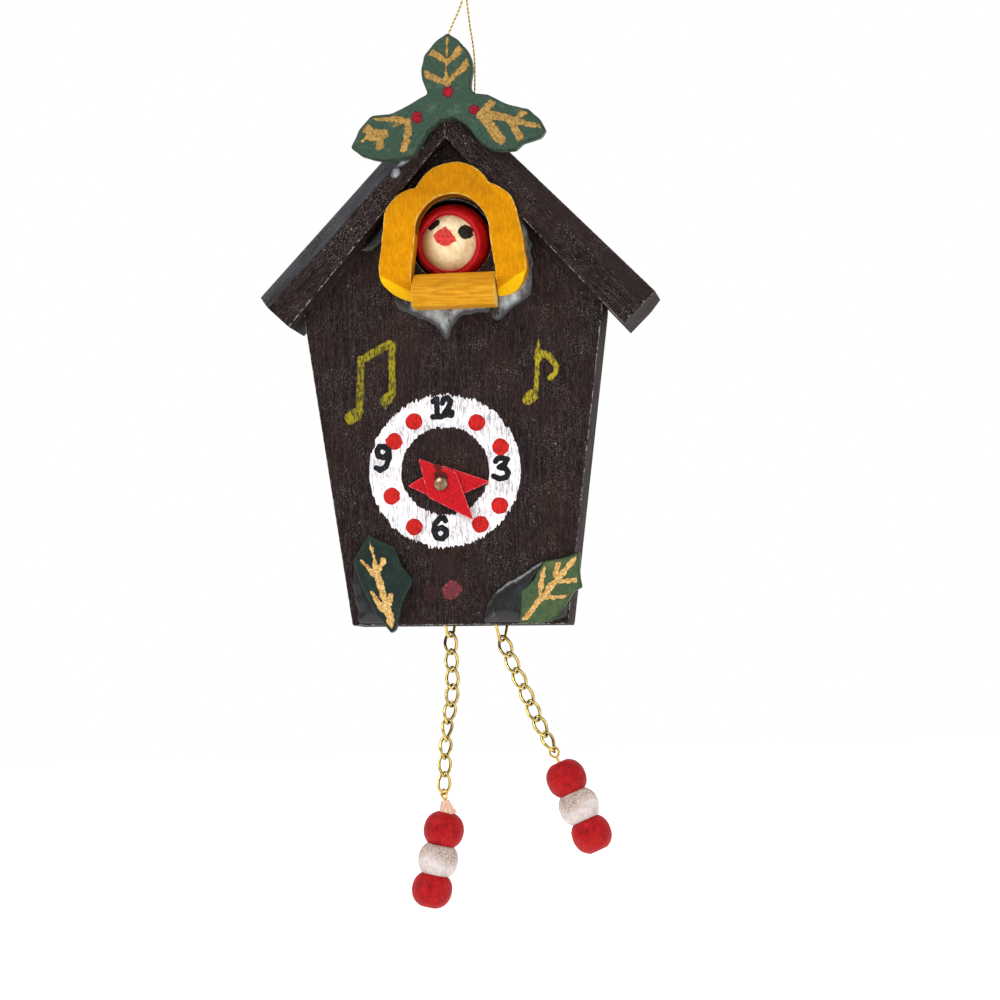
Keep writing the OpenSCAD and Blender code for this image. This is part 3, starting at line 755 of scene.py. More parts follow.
RIDGE_Z = 81
PITCH = math.radians(46)
EAVE_CUT = math.radians(38)
UNDER_RUN = math.tan(math.radians(48.5))
INNER_Z = RIDGE_Z - 5.15 / math.cos(PITCH)
BODY_HALF = 16
FLARE = 0.14
BODY_D = 11
OVERHANG = 3
BEVEL = 2.4
SHOULDER_Z = (INNER_Z - BODY_HALF * UNDER_RUN) / (1 + FLARE * UNDER_RUN)
SHOULDER_X = BODY_HALF + FLARE * SHOULDER_Z
HEAD = (0.1, 2.9, 58.3)
HEAD_R = 5.1
NAIL = (-2.3, 21.5)


def body_field(x, z):
    outline = [(-BODY_HALF - 0.5, 0.75), (BODY_HALF, 0), (SHOULDER_X, SHOULDER_Z), (0, INNER_Z),
               (-SHOULDER_X, SHOULDER_Z)]
    return polygon(x, z, outline)


def roof_field(l):
    eave = (l * math.cos(PITCH), RIDGE_Z - l * math.sin(PITCH))
    end = (eave[1] + eave[0] * UNDER_RUN - INNER_Z) / (math.cos(EAVE_CUT) + math.sin(EAVE_CUT) * UNDER_RUN)
    outline = [(0, RIDGE_Z), eave, (eave[0] - end * math.sin(EAVE_CUT), eave[1] - end * math.cos(EAVE_CUT)),
               (0, INNER_Z)]
    return lambda x, z: polygon(x, z, outline)


solid("house_block", grid(-22.6, 22.6, 0.45), grid(-0.4, 74, 0.45), body_field, 0, BODY_D, MAT_BODY, 0.3,
      pocket=(HEAD[0], HEAD[2], 6.2, 8.6), replaces=["body_block"], slot="black_wood")


def make_roof(name, node, l, sign, material):
    """A roof board drawn along its own slope, so that its bevel's crease is straight."""
    us = grid(-0.6, l + 0.3, 0.35)
    vs = np.unique(np.concatenate((grid(-7.4, -BEVEL, 0.3), grid(-BEVEL, 0.2, 0.3))))
    field = roof_field(l)
    crease = lambda u, v: max(0.0, 1.02 - abs(v + BEVEL + 0.3 * jitter(u, v, 0.8, 15)) / 0.3)
    solid(name, us if sign > 0 else -us[::-1], vs, lambda x, z: field(sign * x, z), -OVERHANG, BODY_D, material,
          0.25,
          front=lambda u, v: max(0.0, BEVEL + v), turn=-sign * PITCH, origin=(0, RIDGE_Z), worn=crease,
          tint=lambda u, v, wall: 0.0 if wall or v < -BEVEL else 1.0, replaces=[node], slot="black_wood")


LEFT_BOARD, RIGHT_BOARD = 42, 44.2
make_roof("roof_board_left", "roof_left", LEFT_BOARD, -1, MAT_ROOF_LEFT)
make_roof("roof_board_right", "roof_right", RIGHT_BOARD, 1, MAT_ROOF_RIGHT)


def make_fillet(name, sign, x0, x1, seed):
    """Paint and glue that has set in the corner between a roof board's underside and the block's face."""
    verts, wear = [], []
    xs, across = grid(x0, x1, 0.25), 7
    ease = lambda run: math.sin(math.pi * min(1, run / 3 + 0.12) / 2)
    slope = Vector((1, 0, -UNDER_RUN)).normalized()
    inward = Vector((slope.z, 0, -slope.x))
    for x in xs:
        size = ease(x - x0) * ease(x1 - x)
        foot = Vector((x, 0, INNER_Z - UNDER_RUN * x))
        for j in range(across):
            t = j / (across - 1)
            lump = 0.5 * jitter(x, j * 0.8, 0.7, seed) + 0.25 * jitter(x, j, 0.3, seed + 1)
            reach, rise = 0.8 * size * t ** 1.5, 1.7 * size * (1 - t) ** 1.5
            p = foot + inward * (reach + (0.25 + lump) * size * math.sin(math.pi * t) * 0.6)
            verts.append((sign * p.x, -rise - 0.04 - 0.2 * size * abs(lump), p.z))
            wear.append(0.3 + 0.4 * math.sin(math.pi * t))
        p = foot - inward * 0.15
        verts.append((sign * p.x, 0.1, p.z))
        wear.append(0)
    faces = [f[::sign] for f in ring_faces(len(xs), across + 1)]
    finish_mesh(name, verts, faces, MAT_FILLET, values={"wear": wear, "tint": [0.8] * len(verts)},
                slot="clear_glue",
                sharp=70)


MAT_FILLET = black_wood("fillet_paint", 0, "#241f20", 0.3)
make_fillet("roof_fillet_left", -1, 12.5, 22.3, 17)
make_fillet("roof_fillet_right", 1, 13.0, 22.3, 19)

# ---- Window and bird ------------------------------------------------------

WINDOW_X, ARCH_Z, ARCH_R = 0.75, 59.1, 5.6


def frame_field(x, z):
    lobes = [(1.1, 63.3, 6.25), (5.3, 61, 5.4), (-4.15, 60.6, 5.35), (7.4, 53.7, 4.4), (-6, 53.6, 4.3)]
    shape = polygon(x, z, [(-9.4, 61), (-10.1, 57.5), (-10.3, 54), (-5, 51), (6, 51), (11.75, 54), (11.3, 57.8),
                           (10.8, 60.5), (6.5, 66.2), (-4.6, 65.9)])
    for cx, cz, r in lobes:
        # Hand-cut lobes run into one another
        other = disc(x, z, cx, cz, r)
        h = np.clip(0.5 + 0.5 * (shape - other) / 0.5, 0, 1)
        shape = shape * (1 - h) + other * h - 0.5 * h * (1 - h) * 0.5
    opening = np.minimum(disc(x, z, WINDOW_X, ARCH_Z, ARCH_R), polygon(x, z, [
        (WINDOW_X - ARCH_R, ARCH_Z), (WINDOW_X + ARCH_R, ARCH_Z), (WINDOW_X + 6.4, 53), (WINDOW_X + 6.4, 44),
        (WINDOW_X - 6.4, 44), (WINDOW_X - 6.4, 53)]))
    wobble = 0.3 * (noise(x, z, 2.6, 5) - 0.5) + 0.12 * (noise(x, z, 0.9, 6) - 0.5)
    return np.maximum(np.maximum(shape + wobble, -opening - wobble * 0.5), 49.05 - z)


def under_roof(x, z):
    """Height over the boards' undersides, where the frame stops. In front of the roof it laps over them."""
    return (z - INNER_Z + UNDER_RUN * np.abs(x) + 0.08) * math.cos(math.atan(UNDER_RUN))


def frame_tint(x, z, wall):
    """1 on the upper inner wall of the arch and a little less on the upper front, both painted shade in brown, and
    down to -1 on the feet of the lobes, which are painted light in bright yellow.
    """
    if not wall:
        if z > 60:
            return 0.3 + 0.15 * min(1.0, (z - 60) / 5)
        return -min(1.0, max(0.0, 2 * (50.6 + 0.55 * (abs(x - WINDOW_X) - 6.4) - z)))
    return float(math.hypot(x - WINDOW_X, z - ARCH_Z) < ARCH_R + 0.5 and z > ARCH_Z)


FRAME_T, FOOT_Z = 4.2, 52.2
solid("window_frame_visual", grid(-11, 12.6, 0.3), grid(48.4, 70.2, 0.3),
      lambda x, z: np.maximum(frame_field(x, z), under_roof(x, z)), -FRAME_T, 0, MAT_FRAME, 0.3,
      front=lambda u, v: min(FRAME_T - 0.5, max(0.0, 1.25 * (FOOT_Z - v) - 0.3)), tint=frame_tint,
      replaces=["window_frame"], slot="yellow_wood")
# The lap in front of the right-hand board
solid("window_frame_lap", grid(-11, 12.6, 0.3), grid(53, 70.2, 0.3),
      lambda x, z: np.maximum(frame_field(x, z), -0.5 - under_roof(x, z)), -FRAME_T, -OVERHANG - 0.08, MAT_FRAME,
      0.3,
      slot="yellow_wood")


def make_sill():
    """A short moulding: its section runs from the block out to a flat front under a sloping top."""
    low, high = (-5.58, 47.8), (7.08, 53)
    section = [(0, low[1]), (0, high[1]), (-2.7, high[1]), (-5.2, 50.5), (-5.2, low[1])]
    soft = rounded(section, 2, 0.06)
    xs = [low[0] + 0.12] + list(grid(low[0] + 0.3, high[0] - 0.3, 0.5)) + [high[0] - 0.12]
    cy, cz = (sum(p[i] for p in soft) / len(soft) for i in (0, 1))
    verts, wear = [], []
    for i, x in enumerate(xs):
        end = i in (0, len(xs) - 1)
        s = 0.965 if end else 1.0
        for y, z in soft:
            dent = 0.05 * jitter(x, z * 3, 1.1, 9)
            verts.append((x, cy + s * (y - cy) + dent * 0.4, cz + s * (z - cz) + dent))
            # wear marks the edges of the sloping top for a pale painted highlight; the two ends are pale all over
            near = min(math.hypot(y - p[0], z - p[1]) for p in section[2:4])
            wear.append(1 if end else max(0, 1 - near / 0.55))
    finish_mesh("window_sill_visual", verts, ring_faces(len(xs), len(soft)), MAT_SILL, replaces=["window_sill"],
                slot="yellow_wood",
                values={"wear": wear}, sharp=24)


make_sill()

FACE_AXIS = Vector((-0.12, -1, -0.10)).normalized()


def ball_point(theta, phi, r):
    """A point about the bird's head: theta from the face's axis, phi clockwise from the top as seen in front."""
    sideways = Vector((0, 0, 1)).cross(FACE_AXIS).normalized()
    top = FACE_AXIS.cross(sideways).normalized()
    d = math.cos(theta) * FACE_AXIS + math.sin(theta) * (math.cos(phi) * top + math.sin(phi) * sideways)
    return (HEAD[0] + r * d.x, HEAD[1] + r * d.y, HEAD[2] + r * d.z)


def make_head():
    rings, sides = 48, 72
    verts, shade = [], []
    for i in range(1, rings):
        theta = math.pi * i / rings
        for k in range(sides):
            phi = 2 * math.pi * k / sides
            dent = 0.05 * jitter(theta * 6, phi * 3, 1.0, 21) * math.sin(theta)
            p = ball_point(theta, phi, HEAD_R - 0.02 + dent)
            verts.append(p)
            shade.append(min(max((HEAD[0] - 1.6 - p[0]) / 2.6 + (HEAD[2] - p[2]) * 0.08, 0), 1))
    front, back = len(verts), len(verts) + 1
    verts += [ball_point(0, 0, HEAD_R - 0.02), ball_point(math.pi, 0, HEAD_R - 0.02)]
    shade += [0, 0]
    faces = ring_faces(rings - 1, sides, caps=False)
    for k in range(sides):
        l = (k + 1) % sides
        faces.append([front, l, k])
        faces.append([back, (rings - 2) * sides + k, (rings - 2) * sides + l])
    finish_mesh("bird_head_visual", verts, faces, face_wood(), replaces=["bird_head"], slot="bare_wood",
                values={"shade": shade})


def rim_angle(phi):
    """How far the hood's rim lies from the face's axis: further back at the cheeks, peaked at the brow."""
    peak = math.exp(-(math.remainder(phi + 0.75, 2 * math.pi) / 0.4) ** 2)
    return math.radians(53.5 - 6 * peak + 2.5 * math.cos(phi - 2.6))


def hood_skin(theta, phi):
    wool = 0.16 * jitter(theta * 9, phi * 7, 1.0, 31)
    folds = 0.09 * math.sin(17 * theta + 1.5 * math.sin(3 * phi))
    return HEAD_R + 0.68 + wool + folds * 0.6


def make_hood():
    """The felt hood: one skin that turns in over its rim, with loose fibres standing off it."""
    sides, rows = 120, 34
    verts, shade = [], []
    for i in range(rows + 3):
        for k in range(sides):
            phi = 2 * math.pi * k / sides
            rim = rim_angle(phi) + 0.03 * jitter(phi * 20, 0, 1.0, 33)
            if i < 3:
                theta = rim + (0.035, 0.0, 0.02)[i]
                r = (HEAD_R + 0.02, HEAD_R + 0.14, HEAD_R + 0.38)[i]
            else:
                t = (i - 2) / rows
                theta = rim + 0.05 + t * (math.pi - 0.02 - rim - 0.05)
                r = hood_skin(theta, phi)
            verts.append(ball_point(theta, phi, r))
            # shade marks the rows at the rim for a painted highlight
            shade.append(max(0.0, 1 - abs(i - 2) / 2.2))
    faces = ring_faces(rows + 3, sides)
    del faces[-2]  # the front stays open round the face
    hood = finish_mesh("bird_hood_visual", verts, faces, felt("hood_felt", "#ff181e", "#cf0a12", "#ff5646"),
                       replaces=["bird_hood"], slot="red_felt", values={"shade": shade}, sharp=80)
    rnd = np.random.RandomState(7)
    parts = []
    for n in range(1500):
        phi = rnd.uniform(0, 2 * math.pi)
        theta = rim_angle(phi) + abs(rnd.normal(0, 0.35)) * (0.3 if n % 3 else 1.6)
        if theta > 2.2:
            continue
        along, out = rnd.uniform(0.1, 0.35) * rnd.choice((-1, 1)), rnd.uniform(0.04, 0.16)
        base = hood_skin(theta, phi) - 0.12 if theta > rim_angle(phi) + 0.08 else HEAD_R + 0.25
        pts = [ball_point(theta - 0.05 * t * rnd.uniform(0.2, 1.2), phi + along * t,
                          base + 0.02 + out * math.sin(2.6 * t))
               for t in (0, 0.35, 0.7, 1)]
        parts.append(sweep(pts, None, 3, shape=lambda i, a: 0.03 * (1 - 0.25 * i)))
    verts, faces = joined(*parts)
    finish_mesh("bird_hood_fuzz", verts, faces, felt("fuzz_felt", "#fa1a20", "#cf0c14", "#ff4a44"),
                slot="red_felt", values={"shade": [0.15] * len(verts)}, sharp=180)
    return hood


make_head()
hood = make_hood()


def on_ball(x, z):
    d = HEAD_R ** 2 - (x - HEAD[0]) ** 2 - (z - HEAD[2]) ** 2
    return HEAD[1] - math.sqrt(max(d, 0.5))


MAT_EYE = flecked("eye_paint", "#0e0a0a", "#3a2c26", 0.16, grain=(4, 4, 4))
paint("bird_eye_right", (0.9, 4.1, 57.6, 60.9), 0.09,
      lambda x, z: disc(x, z, 2.5, 59.25, 1.08) + 0.3 * (noise(x, z, 0.4, 41) - 0.5),
      MAT_EYE, 0.05, surface=on_ball, slot="bare_wood")
paint("bird_eye_left", (-3.4, -0.8, 59.4, 62), 0.09,
      lambda x, z: stroke(x, z, [(-2.8, 60.35), (-1.95, 60.9)], 0.55) + 0.2 * (noise(x, z, 0.4, 42) - 0.5),
      MAT_EYE, 0.05, surface=on_ball, slot="bare_wood")


def beak_field(x, z):
    shape = polygon(x, z, [(-2.35, 58.85), (-1.5, 59.7), (-0.45, 60.15), (0.3, 59.3), (1.0, 57.95), (0.2, 57.4),
                           (-0.75, 57.15), (-1.7, 57.8)])
    return shape - 0.08 + 0.34 * (noise(x, z, 0.45, 43) - 0.5)


paint("bird_beak", (-3, 1.7, 56.5, 60.8), 0.09, beak_field,
      flecked("beak_paint", "#d8332f", "#a3221f", 0.24, grain=(2.5, 2.5, 2.5), edge="#de7263"), 0.07,
      surface=on_ball, slot="bare_wood")

# ---- Holly ----------------------------------------------------------------

SPRIG = rounded([
    (1.1, 88.8), (-0.8, 87.6), (-2.5, 85.5), (-3, 83.5), (-2.9, 81.9), (-2.1, 79.8), (-4.9, 78.3), (-7.7, 77),
    (-10.8, 76.9), (-12.6, 74.9), (-14, 72.2), (-12.4, 70.9), (-10, 70.1), (-7, 70), (-4.3, 70.6),
    (-3.4, 72.2), (-2.2, 74), (-0.5, 75.6), (1.6, 76), (3.5, 74.9), (4.5, 73.5), (5.4, 72.1), (6.8, 71.1),
    (9, 70.6), (10.8, 70.7), (12, 71.8), (14.7, 72.4), (15.5, 73.5), (14.6, 75.2), (12.9, 76.8), (9.8, 77.6),
    (7, 79.2), (4.9, 79.5), (4.3, 80.4), (4.5, 82), (4.8, 83.4), (4.6, 84.7), (4, 86.2), (2.6, 87.8),
], 2, 0.09)
LEAF_LEFT = rounded([
    (-13.4, 14.2), (-11.4, 13.1), (-9.6, 12.3), (-8.6, 9.4), (-6.9, 7.2), (-8.6, 3.8), (-9.7, -0.1),
    (-10.4, -0.6), (-11.6, 0.9), (-13, 2.8), (-14.8, 6.6), (-15.8, 10.4),
], 2, 0.07)
LEAF_RIGHT = rounded([
    (18.3, 10.7), (15.6, 9.7), (12.8, 9.4), (11.2, 6.6), (9.3, 5), (9.2, 2.4), (8.7, 0.2), (11.4, 0.2),
    (13.9, 0.5), (16, 2.9), (17.2, 4.8), (18.4, 5.3), (18.1, 7.8),
], 2, 0.07)


def cut_out(outline, seed):
    return lambda x, z: polygon(x, z, outline) + 0.12 * (noise(x, z, 1.1, seed) - 0.5)


SPRIG_Y, LEAF_Y = -OVERHANG - 2.4, -1.9
for node, outline, box, front, back, material, round_r, seed in (
        ("holly_sprig", SPRIG, (-14.8, 16.2, 69.4, 89.4), SPRIG_Y, -OVERHANG, MAT_SPRIG, 0.35, 51),
        ("leaf_left", LEAF_LEFT, (-16.6, -6.2, -1.2, 14.8), LEAF_Y, 0, MAT_LEAF_LEFT, 0.25, 52),
        ("leaf_right", LEAF_RIGHT, (8.2, 19, -0.4, 11.3), LEAF_Y, 0, MAT_LEAF_RIGHT, 0.25, 53)):
    solid(f"{node}_visual", grid(*box[:2], 0.25), grid(*box[2:], 0.25), cut_out(outline, seed), front, back,
          material,
          round_r, replaces=[node], slot="holly_wood")


def veins(name, strokes, leaf, y, material, seed):
    """Brushed veins that stop just inside the leaf's edge."""
    def field(x, z):
        ragged = 0.34 * (noise(x, z, 0.55, seed) - 0.5) + 0.2 * (noise(x, z, 0.22, seed + 1) - 0.5)
        return np.maximum(strokes_field(x, z, strokes, 0.5) + ragged, polygon(x, z, leaf) + 0.45)

    paint(name, around(sum(strokes, []), 1.5), 0.11, field, material, 0.09, 0.3, y=y, slot="holly_wood")


veins("veins_top", [
    [(1.1, 88.6, 0.12), (0.9, 84.6, 0.22), (0.7, 81.4, 0.25)], [(-1.9, 86.3, 0.6), (1.1, 84.4, 0.4)],
    [(1.1, 84.4, 0.4), (3.1, 86.3, 0.6)], [(-2.6, 82.9, 0.55), (0.8, 81.0, 0.35)],
    [(0.8, 81.0, 0.4), (4.1, 84.2, 0.6)],
], SPRIG, SPRIG_Y, MAT_GOLD, 61)
veins("veins_left", [
    [(-10.4, 76.5, 0.35), (-7.8, 76.3, 0.5), (-5.4, 75.7, 0.55)],
    [(-5.2, 75.8, 0.55), (-5.3, 73.6, 0.55), (-5.9, 71.7, 0.6)],
    [(-7.3, 75.1, 0.2), (-5.6, 75.6, 0.3)], [(-11.7, 75.3, 0.6), (-10.6, 73.9, 0.95), (-8.9, 74.0, 0.75)],
    [(-9.2, 74.0, 0.6), (-9.6, 72.0, 0.6)], [(-12.2, 73.0, 0.2), (-11.0, 73.9, 0.4)],
], SPRIG, SPRIG_Y, MAT_GOLD, 63)
veins("veins_right", [
    [(5.6, 76.4, 0.5), (6.9, 74.7, 0.75), (8.8, 72.3, 0.75)], [(6.0, 76.4, 0.6), (7.9, 78.3, 0.5)],
    [(6.4, 76.4, 0.7), (9.2, 75.6, 0.6), (11.0, 75.0, 0.6), (14.9, 74.0, 0.3)],
    [(10.2, 75.1, 0.6), (11.9, 72.1, 0.65)], [(11.0, 75.2, 0.4), (12.7, 76.7, 0.5)],
], SPRIG, SPRIG_Y, MAT_GOLD, 65)
veins("veins_leaf_left", [
    [(-13.3, 13.4, 0.12), (-12.7, 11.0, 0.3), (-12.1, 8.0, 0.6), (-11.3, 4.6, 0.55), (-10.2, 0.6, 0.7)],
    [(-14.5, 10.4, 0.15), (-12.7, 8.2, 0.45)], [(-12.2, 8.6, 0.4), (-11.1, 10.4, 0.45)],
    [(-13.2, 5.6, 0.2), (-11.5, 2.9, 0.5)], [(-10.7, 2.2, 0.5), (-10.3, 5.0, 0.4)],
], LEAF_LEFT, LEAF_Y, MAT_GOLD_BRIGHT, 67)
veins("veins_leaf_right", [
    [(9.6, 0.5, 0.45), (12.4, 3.9, 0.5), (14.8, 6.6, 0.5), (17.9, 9.9, 0.4)],
    [(12.8, 8.4, 0.45), (12.2, 4.6, 0.4)],
    [(15.1, 9.3, 0.4), (14.5, 7.2, 0.4)], [(17.8, 6.3, 0.35), (14.4, 6.3, 0.4)],
    [(16.5, 4.0, 0.25), (12.4, 3.9, 0.4)],
], LEAF_RIGHT, LEAF_Y, MAT_GOLD_BRIGHT, 69)


def spot(name, x0, z0, r, y, material, seed, slot="black_wood", ragged=0.22, height=0.06):
    paint(name, (x0 - r - 0.5, x0 + r + 0.5, z0 - r - 0.5, z0 + r + 0.5), 0.1,
          lambda x, z: disc(x, z, x0, z0, r) + ragged * (noise(x, z, 0.5, seed) - 0.5),
          material, height, y=y, slot=slot)


for i, (bx, bz, br) in enumerate([(0.95, 79.9, 0.84), (-3.74, 76.25, 0.88), (4.83, 77.0, 0.76)]):
    spot(f"sprig_berry_{i + 1}", bx, bz, br, SPRIG_Y, MAT_BERRY, 71 + i, "holly_wood", height=0.09)

# ---- Dial and painted marks ----------------------------------------------

DIAL = (-1.8, 23.5)
ON_DIAL_Y = -0.045


def dial_field(x, z):
    # The brush skipped along the wood's grain, so the edge is ragged upwards and downwards
    streak = 0.75 * (noise(x, z, (0.16, 1.1), 81) - 0.5) + 0.35 * (noise(x, z, (0.5, 0.5), 82) - 0.5)
    steep = np.abs(z - DIAL[1]) / np.maximum(np.hypot(x - DIAL[0], z - DIAL[1]), 1e-6)
    rough = streak * (0.25 + 0.75 * steep)
    return np.maximum(disc(x, z, *DIAL, 11.45) + rough, -disc(x, z, *DIAL, 6.65) + rough * 0.8)


paint("dial_ring", (-13.9, 10.3, 11.4, 35.6), 0.13, dial_field, MAT_DIAL, 0.05, 0.2, slot="black_wood")
DOTS = [(-6.3, 31.1), (-9.4, 28.2), (-10.0, 20.0), (-6.7, 15.3), (3.3, 15.3), (6.3, 18.0), (6.7, 26.8),
        (3.2, 30.6)]
for i, (dx, dz) in enumerate(DOTS):
    spot(f"dial_dot_{i + 1}", dx, dz, 1.28, ON_DIAL_Y, MAT_DOT, 91 + i, ragged=0.16, height=0.035)

NUMERALS = {
    "12": ((-2.0, 33.1), [
        [(-1.3, 0.9), (-0.75, 1.3), (-0.75, -1.35)], [(-1.4, -1.4), (-0.15, -1.4)],
        [(0.1, 0.6, 0.42), (0.3, 1.2), (0.9, 1.4), (1.35, 0.8), (1.0, -0.1), (0.15, -1.2)],
        [(0.15, -1.25), (0.8, -1.1), (1.4, -1.3), (1.5, -0.8)]]),
    "3": ((6.6, 23.6), [
        [(-0.7, 1.05), (-0.4, 1.45), (0.3, 1.55), (1.0, 1.3), (0.65, 0.6), (-0.2, 0.15)],
        [(-0.2, 0.15), (0.75, -0.05), (1.15, -0.75), (0.8, -1.4), (-0.25, -1.6), (-1.05, -1.15)]]),
    "6": ((-2.8, 14.85), [
        [(0.85, 1.15, 0.42), (0.65, 1.6), (-0.1, 1.5), (-0.8, 0.65), (-0.95, -0.4), (-0.5, -1.35), (0.25, -1.55),
         (0.9, -1.0), (0.9, -0.3), (0.25, 0.15), (-0.65, -0.1)]]),
    "9": ((-11.2, 25.7), [
        [(1.0, 1.4), (0.8, 0.6), (0.1, 0.15), (-0.6, 0.4), (-0.85, 1.15), (-0.5, 1.8), (0.3, 1.8), (0.95, 1.3),
         (1.0, 0.1), (0.5, -1.15), (-0.4, -1.75), (-1.05, -1.35, 0.42)]]),
}
for text, ((nx, nz), strokes) in NUMERALS.items():
    def numeral(x, z):
        return strokes_field(x - nx, z - nz, strokes, 0.45) + 0.09 * (noise(x, z, 0.35, 101) - 0.5)

    paint(f"numeral_{text}", (nx - 2.6, nx + 2.6, nz - 2.8, nz + 2.8), 0.08, numeral, MAT_NUMERAL, 0.035, 0.1,
          y=ON_DIAL_Y, slot="black_wood")


def marks(name, strokes, seed, material):
    def field(x, z):
        ragged = 0.22 * (noise(x, z, 0.5, seed) - 0.5) + 0.14 * (noise(x, z, (0.2, 0.7), seed + 1) - 0.5)
        return strokes_field(x, z, strokes, 0.55) + ragged

    paint(name, around(sum(strokes, []), 2), 0.1, field, material, 0.05, slot="black_wood")


marks("notes_left", [
    [(-15.9, 32.0, 0.95), (-15.2, 32.5, 1.0)], [(-14.5, 32.9), (-14.1, 40.9)],
    [(-14.0, 40.7, 0.62), (-9.7, 43.0, 0.62)],
    [(-9.3, 42.9), (-9.5, 35.2)], [(-10.6, 34.4, 0.85), (-10.1, 34.8, 0.85)],
], 111, MAT_NOTE)
marks("note_right", [
    [(11.0, 33.7, 0.85), (11.7, 34.4, 0.9)], [(12.3, 35.2, 0.38), (12.7, 40.0, 0.42)],
    [(12.7, 40.0, 0.6), (12.9, 42.9, 0.12)],
    [(12.8, 41.0, 0.5), (14.3, 40.2, 0.55), (15.5, 38.6, 0.45)],
    [(15.5, 38.6, 0.45), (15.3, 37.6, 0.42), (14.5, 36.9, 0.5)],
], 113, MAT_NOTE_BRIGHT)
spot("body_berry_bright", -1.2, 5.6, 1.5, 0, MAT_OLD_BERRY, 121, ragged=0.6)
spot("body_berry_dark_1", -2.4, 9.4, 1.5, 0, MAT_FADED_BERRY, 122, ragged=0.9)
spot("body_berry_dark_2", -4.4, 5.1, 1.3, 0, MAT_FADED_BERRY, 123, ragged=0.9)

# ---- Hands ----------------------------------------------------------------


def make_hand(node, turn, y0):
    """A thin kite of painted veneer, its long point towards +X before it is turned."""
    a = math.radians(turn)
    cut = rounded([(7.4, 0), (0.2, 2.8), (-5.2, 0), (0.2, -2.8)], 2, 0.03)
    local = lambda x, z: (math.cos(a) * (x - NAIL[0]) - math.sin(a) * (z - NAIL[1]),
                          math.sin(a) * (x - NAIL[0]) + math.cos(a) * (z - NAIL[1]))

    def field(x, z):
        u, v = local(x, z)
        return np.maximum(polygon(u, v, cut) + 0.06 * (noise(u, v, 0.7, 131) - 0.5), 0.5 - np.hypot(u, v))

    solid(f"{node}_visual", grid(-7.8, 7.8, 0.16), grid(-7.8, 7.8, 0.16), field, y0, y0 + HAND_T, MAT_HAND, 0.12,
          origin=NAIL, body=node, replaces=[node], slot="red_wood")


def hand_material():
    """Red paint on thin veneer, with a pink painted highlight along its edges."""
    k = Look("hand_paint_edged", Specular_IOR_Level=0.12)
    n = k.noise((5, 5, 1.6), 25, detail=5)
    color = k.layer("#960f16", n, 0.38, 0.62, "#cc141f")
    worn = k.sum((k.value("wear"), 0.75), (n, 0.35))
    # Painted highlight: pink along the edges
    color = k.layer(color, worn, 0.84, 0.95, "#ff7f84", 0.75)
    k.bump(n, 0.45, 0.08)
    return k.done(color, k.ramp(n, 0.3, 0.7, 0.36, 0.5))


MAT_HAND = hand_material()
HAND_T, HAND_GAP = 0.5, 0.1
make_hand("hour_hand", -1, -HAND_GAP - HAND_T)
make_hand("minute_hand", 50, -2 * (HAND_GAP + HAND_T))


def make_nail():
    """A small domed nail head with a dented top."""
    shank = [(0.02, 6.0), (0.45, 5.6), (0.45, -1.25)]
    head = [(0.45, -1.3), (1.0, -1.31), (1.07, -1.38), (1.06, -1.5), (0.95, -1.66), (0.7, -1.8), (0.4, -1.87),
            (0.02, -1.9)]
    verts, faces = lathe(shank + head, 40, lambda a, h: 0.03 * math.sin(3 * a + 1) if h < -1.3 else 0)
    out = []
    for x, y, h in verts:
        dent = 0.07 * jitter(x + 3, y + 5, 0.45, 141) if h < -1.6 else 0
        out.append((NAIL[0] + x, h + dent, NAIL[1] - y))
    finish_mesh("hand_nail_visual", out, faces, MAT_NAIL, replaces=["hand_nail"], slot="nail_brass", sharp=40)


make_nail()
# A dark red-brown mark on the minute hand that trails up and to the left from the nail
paint("nail_dark_mark", (-4.6, -0.6, 20.6, 25.2), 0.08, lambda x, z: np.maximum(
    stroke(x, z, [(-2.2, 22.4, 0.95), (-2.6, 23.4, 0.7), (-3.0, 24.0, 0.35)], 0.5)
    + 0.8 * (noise(x, z, 0.5, 151) - 0.5), 0.62 - np.hypot(x - NAIL[0], z - NAIL[1])),
    MAT_NAIL_MARK, 0.02, y=-1.21, body="minute_hand", sink=0.01, slot="red_wood")

# ---- Chains ---------------------------------------------------------------

PITCH_L, WIRE = 2.65, 0.42
LINK_A, LINK_B, LINK_TWIST = 1.66, 0.88, math.radians(45)
CHAINS = {
    "left": ((-2.35, 5, -0.9), (1, 1, 1, -7, -13, -7, -6, -2, -5), (0, 0, 0, 18, 36, 54, 36, 18, 0)),
    "right": ((5.5, 5, -1.75), (20, 22, 23, 22, 22, 25, 27), (0, 0, 0, 0, 8, 26, 44)),
}


def down(lean):
    a = math.radians(lean)
    return np.array((math.sin(a), 0, -math.cos(a)))


def turned(p, lean, spin):
    """A point spun about +Z and then leaned over."""
    s, a = math.radians(spin), math.radians(-lean)
    x, y, z = p[0] * math.cos(s) - p[1] * math.sin(s), p[0] * math.sin(s) + p[1] * math.cos(s), p[2]
    return np.array((x * math.cos(a) + z * math.sin(a), y, z * math.cos(a) - x * math.sin(a)))


LINK_STEPS, LINK_SIDES = 56, 14


def link_line():
    out = []
    for i in range(LINK_STEPS):
        t = 2 * math.pi * i / LINK_STEPS
        z, x = LINK_A * math.sin(t), LINK_B * math.cos(t)
        w = -LINK_TWIST * z / LINK_A
        out.append((x * math.cos(w), x * math.sin(w), z))
    return out


